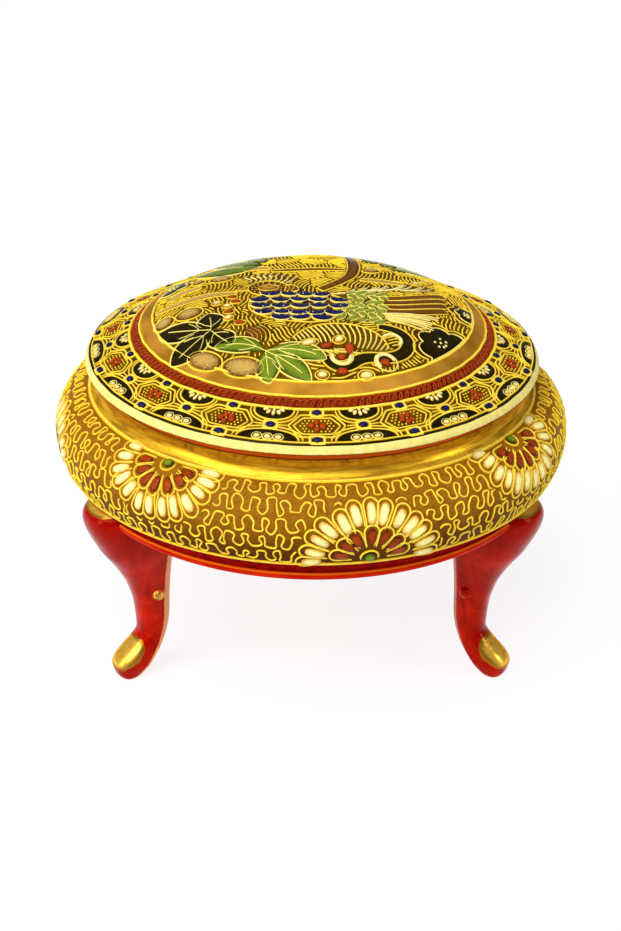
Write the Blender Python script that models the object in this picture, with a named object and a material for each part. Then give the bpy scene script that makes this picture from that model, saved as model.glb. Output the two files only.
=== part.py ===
"""A footed bonbonniere of glazed earthenware: a squat round bowl on three cabriole legs, and a lid.

Metres, +Z up. The origin is on the ground, under the bowl's axis. The back leg points along +Y.
"""
import math

import bmesh
import bpy

# Driving sizes, in metres. A radius called an inset is taken off the bowl's largest radius.
BODY_RADIUS = 0.0700
LEG_HEIGHT = 0.0510
BEAD_RADIUS = 0.0012
BEAD_INSET = 0.00665
COVE_HEIGHT = 0.0046
BELLY_LINE_INSET = 0.0022
LOWER_BELLY_HEIGHT = 0.0080
UPPER_BELLY_HEIGHT = 0.0112
SHOULDER_INSET = 0.0095
NECK_HEIGHT = 0.0070
NECK_HOLLOW = 0.0032
SEAT_INSET = 0.0110
LIP_THICKNESS = 0.0045
LIP_ROUND = 0.0004
WALL = 0.0042
FLOOR_THICKNESS = 0.0044
FLOOR_SWEEP = 0.0060
INNER_NECK_ROUND = 0.0020

# The lid. Its bands are measured inwards from its edge; the domed picture takes what is left.
SEAT_GAP = 0.0003
LID_OVERHANG = 0.0026
LID_RIM_HEIGHT = 0.0024
LID_RIM_SLANT = 0.0010
LID_EDGE_ROUND = 0.0007
BORDER_WIDTH = 0.0112
BORDER_RISE = 0.0045
DOME_RISE = 0.0111
DOME_POWER = 3.83
LID_WALL = 0.0040
FLANGE_CLEARANCE = 0.0006
FLANGE_THICKNESS = 0.0030
FLANGE_DEPTH = 0.0050

# The legs, each drawn in its own upright plane: distance from the bowl's axis against height.
LEG_COUNT = 3
BACK_LEG_DEG = 90.0
KNEE_INSET = 0.0007
KNEE_RISE = 0.0005
KNEE_CROWN = 0.0043
KNEE_HALF_WIDTH = 0.0095
# Between ankle and knee: share of the height, of the step outwards and of the step in width.
CALF_SHARES = ((0.20, 0.04, 0.05), (0.38, 0.17, 0.18), (0.56, 0.42, 0.42), (0.74, 0.74, 0.74))
ANKLE_Z = 0.0140
ANKLE_INSET = 0.0146
ANKLE_HALF_WIDTH = 0.0043
TOE_Z = 0.0040
TOE_INSET = 0.0068
TOE_HALF_WIDTH = 0.0050
LEG_BACK_INSET = 0.0230
SOLE_SWEEP = 0.0105
SOLE_Z = 0.0200
SOLE_POWER = 2.3
SOLE_ROUND = 0.0028
BACK_BEVEL = 0.0018
FRONT_DEPTH = 1.15
FRONT_FULLNESS = 0.85
CROWN_NARROWING = 0.25
BOSS_RADIUS = 0.0019
BOSS_Z = 0.0262
BOSS_INSET = 0.0187
BOSS_SINK = 0.0004

# Shares of the toe's and ankle's heights where the leg is measured, and angles round the crown.
TOE_LEVELS = (0.0, 0.18, 0.5, 1.0)
ANKLE_LEVELS = (0.2, 0.4, 0.6, 0.8, 1.0)
CALF_LEVELS = 9
CROWN_ANGLES = (25, 50, 70, 90)

# How finely round forms are cut.
SEGMENTS = 56
DOME_STEPS = 9
DOME_STEP_POWER = 0.75
LEG_OUTER_POINTS = 9
BOSS_SEGMENTS = 10

# Heights and radii worked out from the sizes above.
BEAD_TOP_Z = LEG_HEIGHT + 2 * BEAD_RADIUS
BELLY_LINE_Z = BEAD_TOP_Z + COVE_HEIGHT
WIDEST_Z = BELLY_LINE_Z + LOWER_BELLY_HEIGHT
SHOULDER_Z = WIDEST_Z + UPPER_BELLY_HEIGHT
SEAT_Z = SHOULDER_Z + NECK_HEIGHT
FLOOR_Z = LEG_HEIGHT + FLOOR_THICKNESS
KNEE_Z = LEG_HEIGHT + KNEE_RISE
SEAT_RADIUS = BODY_RADIUS - SEAT_INSET
MOUTH_RADIUS = SEAT_RADIUS - LIP_THICKNESS
UPPER_ARC = (SHOULDER_INSET ** 2 + UPPER_BELLY_HEIGHT ** 2) / (2 * SHOULDER_INSET)
LOWER_ARC = (BELLY_LINE_INSET ** 2 + LOWER_BELLY_HEIGHT ** 2) / (2 * BELLY_LINE_INSET)
LOWER_TURN = math.atan2(LOWER_BELLY_HEIGHT, LOWER_ARC - BELLY_LINE_INSET)
LID_Z = SEAT_Z + SEAT_GAP
LID_RADIUS = SEAT_RADIUS + LID_OVERHANG
RIM_TOP_RADIUS = LID_RADIUS - LID_RIM_SLANT
DOME_RADIUS = RIM_TOP_RADIUS - BORDER_WIDTH
RIM_TOP_Z = LID_Z + LID_RIM_HEIGHT
DOME_FOOT_Z = RIM_TOP_Z + BORDER_RISE
LID_TOP_Z = DOME_FOOT_Z + DOME_RISE
FLANGE_RADIUS = MOUTH_RADIUS - FLANGE_CLEARANCE


def clear_scene():
    for obj in list(bpy.data.objects):
        bpy.data.objects.remove(obj, do_unlink=True)


def glaze(name, color, roughness, metallic=0.0):
    material = bpy.data.materials.new(name)
    material.use_nodes = True
    shader = material.node_tree.nodes["Principled BSDF"]
    shader.inputs["Base Color"].default_value = (*color, 1.0)
    shader.inputs["Roughness"].default_value = roughness
    shader.inputs["Metallic"].default_value = metallic
    return material


def arc(center, radius, start_deg, end_deg, steps):
    """Points of a circular arc in the (radius, height) plane, both ends included."""
    points = []
    for i in range(steps + 1):
        angle = math.radians(start_deg + (end_deg - start_deg) * i / steps)
        points.append((center[0] + radius * math.cos(angle), center[1] + radius * math.sin(angle)))
    return points


def sweep(start, pull, end, steps):
    """Points of a curve that leaves start towards pull and arrives at end from it."""
    points = []
    for i in range(steps + 1):
        t = i / steps
        a, b, c = (1 - t) ** 2, 2 * t * (1 - t), t ** 2
        points.append(tuple(a * s + b * p + c * e for s, p, e in zip(start, pull, end)))
    return points


def smooth_through(stations, z):
    """The value at height z of a smooth curve through (height, value) stations, low to high."""
    if z <= stations[0][0]:
        return stations[0][1]
    if z >= stations[-1][0]:
        return stations[-1][1]
    upper = next(i for i, (height, _) in enumerate(stations) if height >= z)
    lower = upper - 1

    def slope(i):
        if i in (0, len(stations) - 1):
            return 0.0
        before = (stations[i][1] - stations[i - 1][1]) / (stations[i][0] - stations[i - 1][0])
        after = (stations[i + 1][1] - stations[i][1]) / (stations[i + 1][0] - stations[i][0])
        if before * after <= 0:
            return 0.0
        return 2 * before * after / (before + after)

    span = stations[upper][0] - stations[lower][0]
    t = (z - stations[lower][0]) / span
    low, high = stations[lower][1], stations[upper][1]
    return (low * (2 * t ** 3 - 3 * t ** 2 + 1) + high * (3 * t ** 2 - 2 * t ** 3)
            + slope(lower) * span * (t ** 3 - 2 * t ** 2 + t) + slope(upper) * span * (t ** 3 - t ** 2))


def finish_mesh(name, bm, material):
    """Weld, turn the faces outwards, and make the object."""
    bmesh.ops.remove_doubles(bm, verts=bm.verts, dist=1e-6)
    bmesh.ops.recalc_face_normals(bm, faces=bm.faces)
    mesh = bpy.data.meshes.new(name)
    bm.to_mesh(mesh)
    bm.free()
    mesh.shade_smooth()
    mesh.set_sharp_from_angle(angle=math.radians(35))
    mesh.materials.append(material)
    obj = bpy.data.objects.new(name, mesh)
    bpy.context.scene.collection.objects.link(obj)
    return obj


def turned(name, profile, material):
    """Spin a profile of (radius, height) points about the axis, as on a potter's wheel."""
    bm = bmesh.new()
    verts = [bm.verts.new((r, 0.0, z)) for r, z in profile]
    edges = [bm.edges.new(pair) for pair in zip(verts, verts[1:])]
    if profile[0][0] > 0:
        edges.append(bm.edges.new((verts[-1], verts[0])))
    bmesh.ops.spin(bm, geom=verts + edges, cent=(0, 0, 0), axis=(0, 0, 1), dvec=(0, 0, 0),
                   angle=2 * math.pi, steps=SEGMENTS, use_duplicate=False)
    return finish_mesh(name, bm, material)


def bowl_outside():
    """The bowl's outer outline, from the middle of its underside up to the middle of its mouth."""
    bead = (BODY_RADIUS - BEAD_INSET, LEG_HEIGHT + BEAD_RADIUS)
    belly_line = (BODY_RADIUS - BELLY_LINE_INSET, BELLY_LINE_Z)
    shoulder = (BODY_RADIUS - SHOULDER_INSET, SHOULDER_Z)
    lower_end = math.degrees(LOWER_TURN)
    upper_end = math.degrees(math.atan2(UPPER_BELLY_HEIGHT, UPPER_ARC - SHOULDER_INSET))
    cove_pull = (bead[0], BELLY_LINE_Z - COVE_HEIGHT / 4)
    neck_pull = (SEAT_RADIUS - NECK_HOLLOW / 2, SHOULDER_Z + NECK_HEIGHT / 4)
    points = [(0.0, LEG_HEIGHT)]
    points += arc(bead, BEAD_RADIUS, -90, 80, 5)
    points += sweep(points[-1], cove_pull, belly_line, 4)[1:]
    points += arc((BODY_RADIUS - LOWER_ARC, WIDEST_Z), LOWER_ARC, -lower_end, 0, 3)[1:]
    points += arc((BODY_RADIUS - UPPER_ARC, WIDEST_Z), UPPER_ARC, 0, upper_end, 7)[1:]
    points += sweep(shoulder, neck_pull, (SEAT_RADIUS, SEAT_Z - LIP_ROUND), 5)[1:]
    points += [(SEAT_RADIUS - LIP_ROUND, SEAT_Z), (0.0, SEAT_Z)]
    return points


def bowl_inside():
    """The hollow's outline: floor, belly one wall inside the outer one, and straight mouth."""
    upper_inner = UPPER_ARC - WALL
    lower_inner = LOWER_ARC - WALL
    upper_center = BODY_RADIUS - UPPER_ARC
    lower_center = BODY_RADIUS - LOWER_ARC
    turn = (lower_center + lower_inner * math.cos(LOWER_TURN),
            WIDEST_Z - lower_inner * math.sin(LOWER_TURN))
    corner = (turn[0] - (turn[1] - FLOOR_Z) * math.tan(LOWER_TURN), FLOOR_Z)
    roof_z = WIDEST_Z + upper_inner
    above = SEAT_Z + WALL
    points = [(0.0, FLOOR_Z)]
    points += sweep((corner[0] - FLOOR_SWEEP, FLOOR_Z), corner, turn, 3)
    points += arc((lower_center, WIDEST_Z), lower_inner, -math.degrees(LOWER_TURN), 0, 2)[1:]
    points += arc((upper_center, WIDEST_Z), upper_inner, 0, 90, 4)[1:]
    points += arc((MOUTH_RADIUS + INNER_NECK_ROUND, roof_z + INNER_NECK_ROUND),
                  INNER_NECK_ROUND, 270, 180, 2)
    points += [(MOUTH_RADIUS, above), (0.0, above)]
    return points


def dome_z(r):
    return LID_TOP_Z - DOME_RISE * (r / DOME_RADIUS) ** DOME_POWER


def one_wall_in(points, wall):
    """Points one wall below a run of outline points, square to the run."""
    inner = []
    for i, (r, z) in enumerate(points):
        before, after = points[max(i - 1, 0)], points[min(i + 1, len(points) - 1)]
        run, rise = after[0] - before[0], after[1] - before[1]
        length = math.hypot(run, rise)
        inner.append((r + wall * rise / length, z - wall * run / length))
    return inner


def lid_outline():
    """The lid's closed section, out along the top and back along the inside."""
    dome = [DOME_RADIUS * (i / DOME_STEPS) ** DOME_STEP_POWER for i in range(DOME_STEPS + 1)]
    dome = [(r, dome_z(r)) for r in dome]
    border = [(DOME_RADIUS, DOME_FOOT_Z), (RIM_TOP_RADIUS - LID_EDGE_ROUND, RIM_TOP_Z)]
    flange_inside = FLANGE_RADIUS - FLANGE_THICKNESS
    roof = one_wall_in(dome, LID_WALL) + one_wall_in(border, LID_WALL)
    roof = [point for point in roof if point[0] < flange_inside - LIP_ROUND]
    last, slope = roof[-1], -BORDER_RISE / (border[1][0] - border[0][0])
    roof.append((flange_inside, last[1] + slope * (flange_inside - last[0])))
    roof[0] = (0.0, roof[0][1])
    points = dome + border[1:]
    points += [(RIM_TOP_RADIUS, RIM_TOP_Z - LID_EDGE_ROUND), (LID_RADIUS, LID_Z + LIP_ROUND)]
    points += [(LID_RADIUS - LIP_ROUND, LID_Z), (FLANGE_RADIUS, LID_Z)]
    points += [(FLANGE_RADIUS, LID_Z - FLANGE_DEPTH), (flange_inside, LID_Z - FLANGE_DEPTH)]
    return points + roof[::-1]


def leg_stations():
    """Heights with the leg's outer radius and half width, from the ground up to the knee."""
    toe, ankle, knee = (BODY_RADIUS - inset for inset in (TOE_INSET, ANKLE_INSET, KNEE_INSET))
    calf = [(ANKLE_Z + (KNEE_Z - ANKLE_Z) * up, out, wide) for up, out, wide in CALF_SHARES]
    outer = [(0.0, toe - SOLE_ROUND), (SOLE_ROUND, toe - SOLE_ROUND / 8), (TOE_Z, toe), (ANKLE_Z, ankle)]
    outer += [(z, ankle + (knee - ankle) * out) for z, out, _ in calf]
    outer.append((KNEE_Z, knee))
    half = [(0.0, TOE_HALF_WIDTH - SOLE_ROUND), (SOLE_ROUND, TOE_HALF_WIDTH - SOLE_ROUND / 8),
            (TOE_Z, TOE_HALF_WIDTH), (ANKLE_Z, ANKLE_HALF_WIDTH)]
    half += [(z, ANKLE_HALF_WIDTH + (KNEE_HALF_WIDTH - ANKLE_HALF_WIDTH) * wide) for z, _, wide in calf]
    half.append((KNEE_Z, KNEE_HALF_WIDTH))
    return outer, half


def leg_size(stations, z):
    """The leg's outer radius and half width at height z, rounded off above the knee."""
    outer, half = stations
    front, wide = smooth_through(outer, z), smooth_through(half, z)
    if z > KNEE_Z:
        left = math.sqrt(max(0.0, 1 - ((z - KNEE_Z) / KNEE_CROWN) ** 2))
        bead = BODY_RADIUS - BEAD_INSET
        front = bead + (front - bead) * left
        wide *= 1 - CROWN_NARROWING * (1 - left)
    return front, wide


def leg_back(z):
    """The leg's inner radius: upright above the sole, swept out towards the toe below it."""
    upright = BODY_RADIUS - LEG_BACK_INSET
    if z >= SOLE_Z:
        return upright
    return upright + SOLE_SWEEP * (1 - z / SOLE_Z) ** SOLE_POWER


def leg_ring(stations, z):
    """One level section of a leg: round in front, flat at the back with both corners bevelled."""
    front, wide = leg_size(stations, z)
    back = leg_back(z)
    bevel = min(BACK_BEVEL, wide / 2, (front - back) / 3)
    middle = max(front - wide * FRONT_DEPTH, back + bevel)
    ring = [(back, wide - bevel), (back + bevel, wide)]
    for i in range(LEG_OUTER_POINTS):
        angle = math.pi / 2 - math.pi * i / (LEG_OUTER_POINTS - 1)
        ring.append((middle + (front - middle) * math.cos(angle) ** FRONT_FULLNESS,
                     wide * math.copysign(abs(math.sin(angle)) ** FRONT_FULLNESS, angle)))
    ring += [(back + bevel, -wide), (back, bevel - wide)]
    return [(x, y, z) for x, y in ring]


def leg_levels():
    """Heights of the leg's sections: close together where it turns, wider apart between."""
    toe = [TOE_Z * share for share in TOE_LEVELS]
    ankle = [TOE_Z + (ANKLE_Z - TOE_Z) * share for share in ANKLE_LEVELS]
    calf = [ANKLE_Z + (KNEE_Z - ANKLE_Z) * (i + 1) / CALF_LEVELS for i in range(CALF_LEVELS)]
    crown = [KNEE_Z + KNEE_CROWN * math.sin(math.radians(angle)) for angle in CROWN_ANGLES]
    return toe + ankle + calf + crown


def leg(name, material, turn):
    stations = leg_stations()
    bm = bmesh.new()
    rings = [[bm.verts.new(point) for point in leg_ring(stations, z)] for z in leg_levels()]
    bm.faces.new(rings[0])
    bm.faces.new(rings[-1])
    for low, high in zip(rings, rings[1:]):
        for i in range(len(low)):
            after = (i + 1) % len(low)
            bm.faces.new((low[i], low[after], high[after], high[i]))
    obj = finish_mesh(name, bm, material)
    obj.rotation_euler.z = turn
    return obj


def boss(name, material, turn, side):
    """A small ball on a leg's side, level with the ankle's upper end."""
    reach = BODY_RADIUS - BOSS_INSET
    out = leg_size(leg_stations(), BOSS_Z)[1] - BOSS_SINK
    bm = bmesh.new()
    bmesh.ops.create_uvsphere(bm, u_segments=BOSS_SEGMENTS, v_segments=BOSS_SEGMENTS // 2 + 1,
                              radius=BOSS_RADIUS)
    obj = finish_mesh(name, bm, material)
    obj.location = (reach * math.cos(turn) - side * out * math.sin(turn),
                    reach * math.sin(turn) + side * out * math.cos(turn), BOSS_Z)
    return obj


def combine(target, tool, operation):
    """Add a tool to the target, or cut it out, and keep the tool only as a hidden guide."""
    modifier = target.modifiers.new(tool.name, "BOOLEAN")
    modifier.operation = operation
    modifier.solver = "EXACT"
    modifier.object = tool
    tool.hide_render = True
    tool.display_type = "WIRE"


def make_bowl():
    red = glaze("red glaze", (0.55, 0.02, 0.006), 0.15)
    bowl = turned("bowl", bowl_outside(), red)
    for i in range(LEG_COUNT):
        turn = math.radians(BACK_LEG_DEG + 360 * i / LEG_COUNT)
        combine(bowl, leg(f"leg_{i + 1}_form", red, turn), "UNION")
        for side in (-1, 1):
            name = f"boss_{i + 1}_{'left' if side > 0 else 'right'}_form"
            combine(bowl, boss(name, red, turn, side), "UNION")
    combine(bowl, turned("hollow_form", bowl_inside(), red), "DIFFERENCE")


def make_lid():
    enamel = glaze("lid enamel", (0.45, 0.26, 0.05), 0.3)
    turned("lid", lid_outline(), enamel)


clear_scene()
make_bowl()
make_lid()
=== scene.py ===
# %% [markdown]
# # A footed bonbonniere in raised slip and enamel
# The real object is a small covered box for sweets: a squat bowl on three curved legs, and a domed
# lid that lifts off. It is glazed earthenware. Ground glazes colour the body, lines of thick yellow
# slip are trailed over them like icing, and pools of coloured enamel fill what the lines enclose.
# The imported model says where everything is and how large, so it is loaded before anything is made.

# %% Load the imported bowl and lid
import math
import random

import bmesh
import bpy
import numpy as np
from mathutils import Matrix, Vector


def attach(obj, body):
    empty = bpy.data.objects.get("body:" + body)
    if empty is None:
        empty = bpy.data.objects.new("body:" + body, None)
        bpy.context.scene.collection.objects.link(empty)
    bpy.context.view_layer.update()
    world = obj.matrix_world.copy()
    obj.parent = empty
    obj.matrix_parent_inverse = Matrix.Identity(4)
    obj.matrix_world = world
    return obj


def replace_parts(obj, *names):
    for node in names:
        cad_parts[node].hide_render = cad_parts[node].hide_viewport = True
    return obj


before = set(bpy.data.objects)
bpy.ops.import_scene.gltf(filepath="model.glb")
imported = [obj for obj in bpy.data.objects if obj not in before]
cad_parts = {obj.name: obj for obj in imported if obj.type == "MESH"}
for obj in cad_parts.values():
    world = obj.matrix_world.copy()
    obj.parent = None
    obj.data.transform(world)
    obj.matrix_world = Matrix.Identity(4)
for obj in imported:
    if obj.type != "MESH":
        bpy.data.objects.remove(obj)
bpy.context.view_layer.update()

MM = 0.001
dice = random.Random(11)

# %% [markdown]
# ## The camera
# A photograph of a round thing fixes its own camera: the rings on the lid and bowl are circles, and
# how flat each one looks gives the height of the eye. A long lens could stand anywhere along its
# line, so the distance was chosen that makes near and far rings shrink as they do in the picture.
# The ornament is turned with the camera, because both were measured from the same point.

# %% Stand the camera where the rings say
EYE_DISTANCE = 500 * MM
EYE_ELEVATION = math.radians(27.47)
EYE_ROLL = math.radians(0.825)
AIM = Vector((-0.05, 0, 50.07)) * MM
FOCAL_PIXELS, PICTURE_HEIGHT, SENSOR = 1773, 931, 36
ORNAMENT_TURN = math.radians(2.0)

lens = bpy.data.cameras.new("studio_camera")
lens.sensor_fit = "VERTICAL"
lens.sensor_height = SENSOR
lens.lens = FOCAL_PIXELS / PICTURE_HEIGHT * SENSOR
camera = bpy.data.objects.new("studio_camera", lens)
camera.matrix_world = (Matrix.Rotation(-ORNAMENT_TURN, 4, "Z") @ Matrix.Translation(AIM)
                       @ Matrix.Rotation(math.pi / 2 - EYE_ELEVATION, 4, "X")
                       @ Matrix.Translation((0, 0, EYE_DISTANCE)) @ Matrix.Rotation(EYE_ROLL, 4, "Z"))
bpy.context.scene.collection.objects.link(camera)
bpy.context.scene.camera = camera
print("lens", round(lens.lens, 1), "mm")

# %% [markdown]
# ## Recipes for glazes
# A finish here is arithmetic on patterns: how thick the enamel lies, times a little noise, plus a
# stain. Nodes do that arithmetic, and written out one by one they hide it. So one small class
# stands for what comes out of a socket and takes the signs of arithmetic, and one more holds a
# material and adds any node by its kind, its settings and what goes into its sockets.

# %% Arithmetic on sockets
class Flow:
    """What comes out of a socket, used like a number."""

    def __init__(self, recipe, socket):
        self.recipe, self.socket = recipe, socket


def sign(operation, swapped):
    """The method behind one sign of arithmetic, swapped when a plain number stands before it."""
    def method(self, other):
        sides = (other, self) if swapped else (self, other)
        return self.recipe.add("ShaderNodeMath", {"operation": operation}, dict(enumerate(sides)))
    return method


for word, operation in (("add", "ADD"), ("sub", "SUBTRACT"), ("mul", "MULTIPLY"),
                        ("truediv", "DIVIDE"), ("pow", "POWER")):
    setattr(Flow, f"__{word}__", sign(operation, False))
    setattr(Flow, f"__r{word}__", sign(operation, True))

# %% One method that adds any node
def paint(*chart):
    """A colour given as on a paint chart, 0 to 255, turned into light."""
    return tuple(((v / 255 + 0.055) / 1.055) ** 2.4 if v > 10 else v / 3295 for v in chart) + (1.0,)


class Recipe:
    """One finish: a material whose nodes are added in the order they are written."""
    SHARE, BELOW, ABOVE, MIXED = 0, 6, 7, 2  # a Mix node's sockets when it mixes colours

    def __init__(self, name):
        self.material = bpy.data.materials.new(name)
        self.material.use_nodes = True
        self.tree = self.material.node_tree
        self.shader = self.tree.nodes["Principled BSDF"]

    def feed(self, socket, value):
        if isinstance(value, Flow):
            self.tree.links.new(value.socket, socket)
        else:
            socket.default_value = value

    def add(self, kind, settings, sockets, out=0):
        node = self.tree.nodes.new(kind)
        for key, value in settings.items():
            setattr(node, key, value)
        for key, value in sockets.items():
            self.feed(node.inputs[key], value)
        return Flow(self, node.outputs[out])

    def place(self):
        return self.add("ShaderNodeTexCoord", {}, {}, "Object")

    def noise(self, size_mm, detail, stretch=(1, 1, 1)):
        """Cloudy noise with spots of about this size."""
        spot = self.add("ShaderNodeVectorMath", {"operation": "MULTIPLY"}, {0: self.place(), 1: stretch})
        return self.add("ShaderNodeTexNoise", {},
                        {"Vector": spot, "Scale": 1 / (size_mm * MM), "Detail": detail})

    def step(self, value, low, high):
        """0 below low, 1 above high, and smooth between."""
        return self.add("ShaderNodeMapRange", {"interpolation_type": "SMOOTHSTEP"},
                        {"Value": value, "From Min": low, "From Max": high})

    def mark(self, name):
        """A value that the form itself carries on its points."""
        return self.add("ShaderNodeAttribute", {"attribute_name": name}, {}, "Fac")

    def mix(self, share, below, above):
        return self.add("ShaderNodeMix", {"data_type": "RGBA"},
                        {self.SHARE: share, self.BELOW: below, self.ABOVE: above}, self.MIXED)

    def shade(self, color, share):
        """Darken a colour to a share of itself."""
        grey = self.add("ShaderNodeCombineColor", {}, {0: share, 1: share, 2: share})
        return self.add("ShaderNodeMix", {"data_type": "RGBA", "blend_type": "MULTIPLY"},
                        {self.SHARE: 1.0, self.BELOW: color, self.ABOVE: grey}, self.MIXED)

    def height_and_radius(self):
        """Height above the ground and distance from the axis, in millimetres."""
        spot = self.place()
        x, y, z = (self.add("ShaderNodeSeparateXYZ", {}, {0: spot}, axis) / MM for axis in "XYZ")
        return z, (x * x + y * y) ** 0.5

    def bump(self, height, depth_mm):
        return self.add("ShaderNodeBump", {}, {"Strength": 1.0, "Distance": depth_mm * MM, "Height": height})

    def finish(self, **sockets):
        """Feed the shader's own sockets and hand back the material."""
        for key, value in sockets.items():
            self.feed(self.shader.inputs[key.replace("_", " ").title().replace("Ior", "IOR")], value)
        return self.material


print("recipes ready")

# %% [markdown]
# ## Where things lie on the lid and the belly
# Ornament is drawn flat and then laid on the clay. The lid is drawn as seen from above, in
# millimetres from its middle. The belly is drawn unrolled: across is the way round it, down is the
# way over its curve from the shoulder. Each chart turns a flat drawing into points on the surface,
# raised by the thickness of the slip, so every line and petal follows the real curve.

# %% The lid's chart
DOME_RADIUS, DOME_RISE, DOME_POWER = 49.4, 11.1, 3.83
DOME_FOOT_Z, RIM_TOP_RADIUS, RIM_TOP_Z = 91.4, 60.6, 86.9
LID_TOP_Z = DOME_FOOT_Z + DOME_RISE
BORDER_FALL = (DOME_FOOT_Z - RIM_TOP_Z) / (RIM_TOP_RADIUS - DOME_RADIUS)


def turned_with_camera(points):
    """Turn points about the axis as far as the camera stands to the side."""
    c, s = math.cos(ORNAMENT_TURN), math.sin(ORNAMENT_TURN)
    x, y = points[:, 0], points[:, 1]
    return np.column_stack((x * c + y * s, y * c - x * s, points[:, 2]))


def lid_surface(r):
    """The lid's height and fall at a radius."""
    share = np.minimum(r, DOME_RADIUS) / DOME_RADIUS
    dome = LID_TOP_Z - DOME_RISE * share ** DOME_POWER
    z = np.where(r < DOME_RADIUS, dome, DOME_FOOT_Z - (r - DOME_RADIUS) * BORDER_FALL)
    slope = DOME_RISE * DOME_POWER / DOME_RADIUS * share ** (DOME_POWER - 1)
    return z, np.where(r < DOME_RADIUS, slope, BORDER_FALL)


def lay_on_lid(flat, lift):
    """Points of a drawing seen from above, raised off the lid by lift."""
    r = np.maximum(np.hypot(flat[:, 0], flat[:, 1]), 1e-6)
    z, fall = lid_surface(r)
    steep = np.sqrt(1 + fall ** 2)
    out = 1 + lift * fall / steep / r
    return turned_with_camera(np.column_stack((flat[:, 0] * out, flat[:, 1] * out, z + lift / steep)))


print("lid top at", LID_TOP_Z, "mm")


# %% The belly's chart
BELLY_RADIUS, WIDEST_Z = 70.0, 66.0
UPPER_IN, UPPER_UP, LOWER_IN, LOWER_DOWN = 9.5, 11.2, 2.2, 8.0
UPPER_ARC = (UPPER_IN ** 2 + UPPER_UP ** 2) / (2 * UPPER_IN)
LOWER_ARC = (LOWER_IN ** 2 + LOWER_DOWN ** 2) / (2 * LOWER_IN)
UPPER_TURN = math.atan2(UPPER_UP, UPPER_ARC - UPPER_IN)
LOWER_TURN = math.atan2(LOWER_DOWN, LOWER_ARC - LOWER_IN)
UPPER_LENGTH, LOWER_LENGTH = UPPER_ARC * UPPER_TURN, LOWER_ARC * LOWER_TURN
BELLY_DEPTH = UPPER_LENGTH + LOWER_LENGTH
GIRTH = 2 * math.pi * BELLY_RADIUS


def belly_surface(down):
    """Radius, height and outward tilt at a distance down from the shoulder."""
    upper = down < UPPER_LENGTH
    tilt = np.where(upper, UPPER_TURN - down / UPPER_ARC, -(down - UPPER_LENGTH) / LOWER_ARC)
    size = np.where(upper, UPPER_ARC, LOWER_ARC)
    return BELLY_RADIUS - size + size * np.cos(tilt), WIDEST_Z + size * np.sin(tilt), tilt


def lay_on_belly(flat, lift):
    """Points of an unrolled drawing: across from the front, and down from the shoulder."""
    r, z, tilt = belly_surface(flat[:, 1])
    r, z = r + lift * np.cos(tilt), z + lift * np.sin(tilt)
    round_by = flat[:, 0] / BELLY_RADIUS
    return turned_with_camera(np.column_stack((r * np.sin(round_by), -r * np.cos(round_by), z)))


print("belly", round(GIRTH), "mm round and", round(BELLY_DEPTH, 1), "mm over its curve")

# %% [markdown]
# ## Drawing
# A few kinds of stroke make the whole ornament: an even smooth line through some points, an oval,
# and a shape moved and turned into its place. A brush keeps strokes apart by eye. Here a grid of
# quarter millimetres remembers what is already covered, and later lines stop before it.

# %% Strokes
def even(path, step, closed=False):
    """The same path with points at equal steps."""
    path = np.asarray(path, float)
    if closed:
        path = np.vstack((path, path[:1]))
    gone = np.concatenate(([0], np.cumsum(np.hypot(*np.diff(path, axis=0).T))))
    count = max(2, int(round(gone[-1] / step)))
    at = np.linspace(0, gone[-1], count + 1)
    even_path = np.column_stack((np.interp(at, gone, path[:, 0]), np.interp(at, gone, path[:, 1])))
    return even_path[:-1] if closed else even_path


def smooth(points, closed=False, rounds=4):
    """A curve through the middle of each stretch, made by cutting corners again and again."""
    path = np.asarray(points, float)
    for _ in range(rounds):
        after = np.roll(path, -1, axis=0)
        cut = np.stack((path * 0.75 + after * 0.25, path * 0.25 + after * 0.75), axis=1).reshape(-1, 2)
        path = cut if closed else np.vstack((path[:1], cut[1:-3], path[-1:]))
    return path


def sideways(path, closed=False):
    """Unit steps to the left of a path, at each of its points."""
    if closed:
        along = np.roll(path, -1, axis=0) - np.roll(path, 1, axis=0)
    else:
        along = np.gradient(path, axis=0)
    along /= np.maximum(np.hypot(*along.T), 1e-9)[:, None]
    return np.column_stack((-along[:, 1], along[:, 0]))


def oval(length, width, points=18, fullness=1.0):
    """An oval round the middle; a fullness under 1 squares it off."""
    t = np.linspace(0, 2 * math.pi, points, endpoint=False)
    c, s = np.cos(t), np.sin(t)
    return np.column_stack((np.sign(c) * np.abs(c) ** fullness * length / 2,
                            np.sign(s) * np.abs(s) ** fullness * width / 2))


def put(shape, at, heading=0.0):
    """Turn a shape drawn along the x axis to a heading in degrees, and move it."""
    c, s = math.cos(math.radians(heading)), math.sin(math.radians(heading))
    return np.asarray(shape, float) @ np.array(((c, s), (-s, c))) + np.asarray(at, float)


def stray(x, y):
    """How far a hand misses its mark, across and up."""
    return np.array((dice.uniform(-x, x), dice.uniform(-y, y)))


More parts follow.
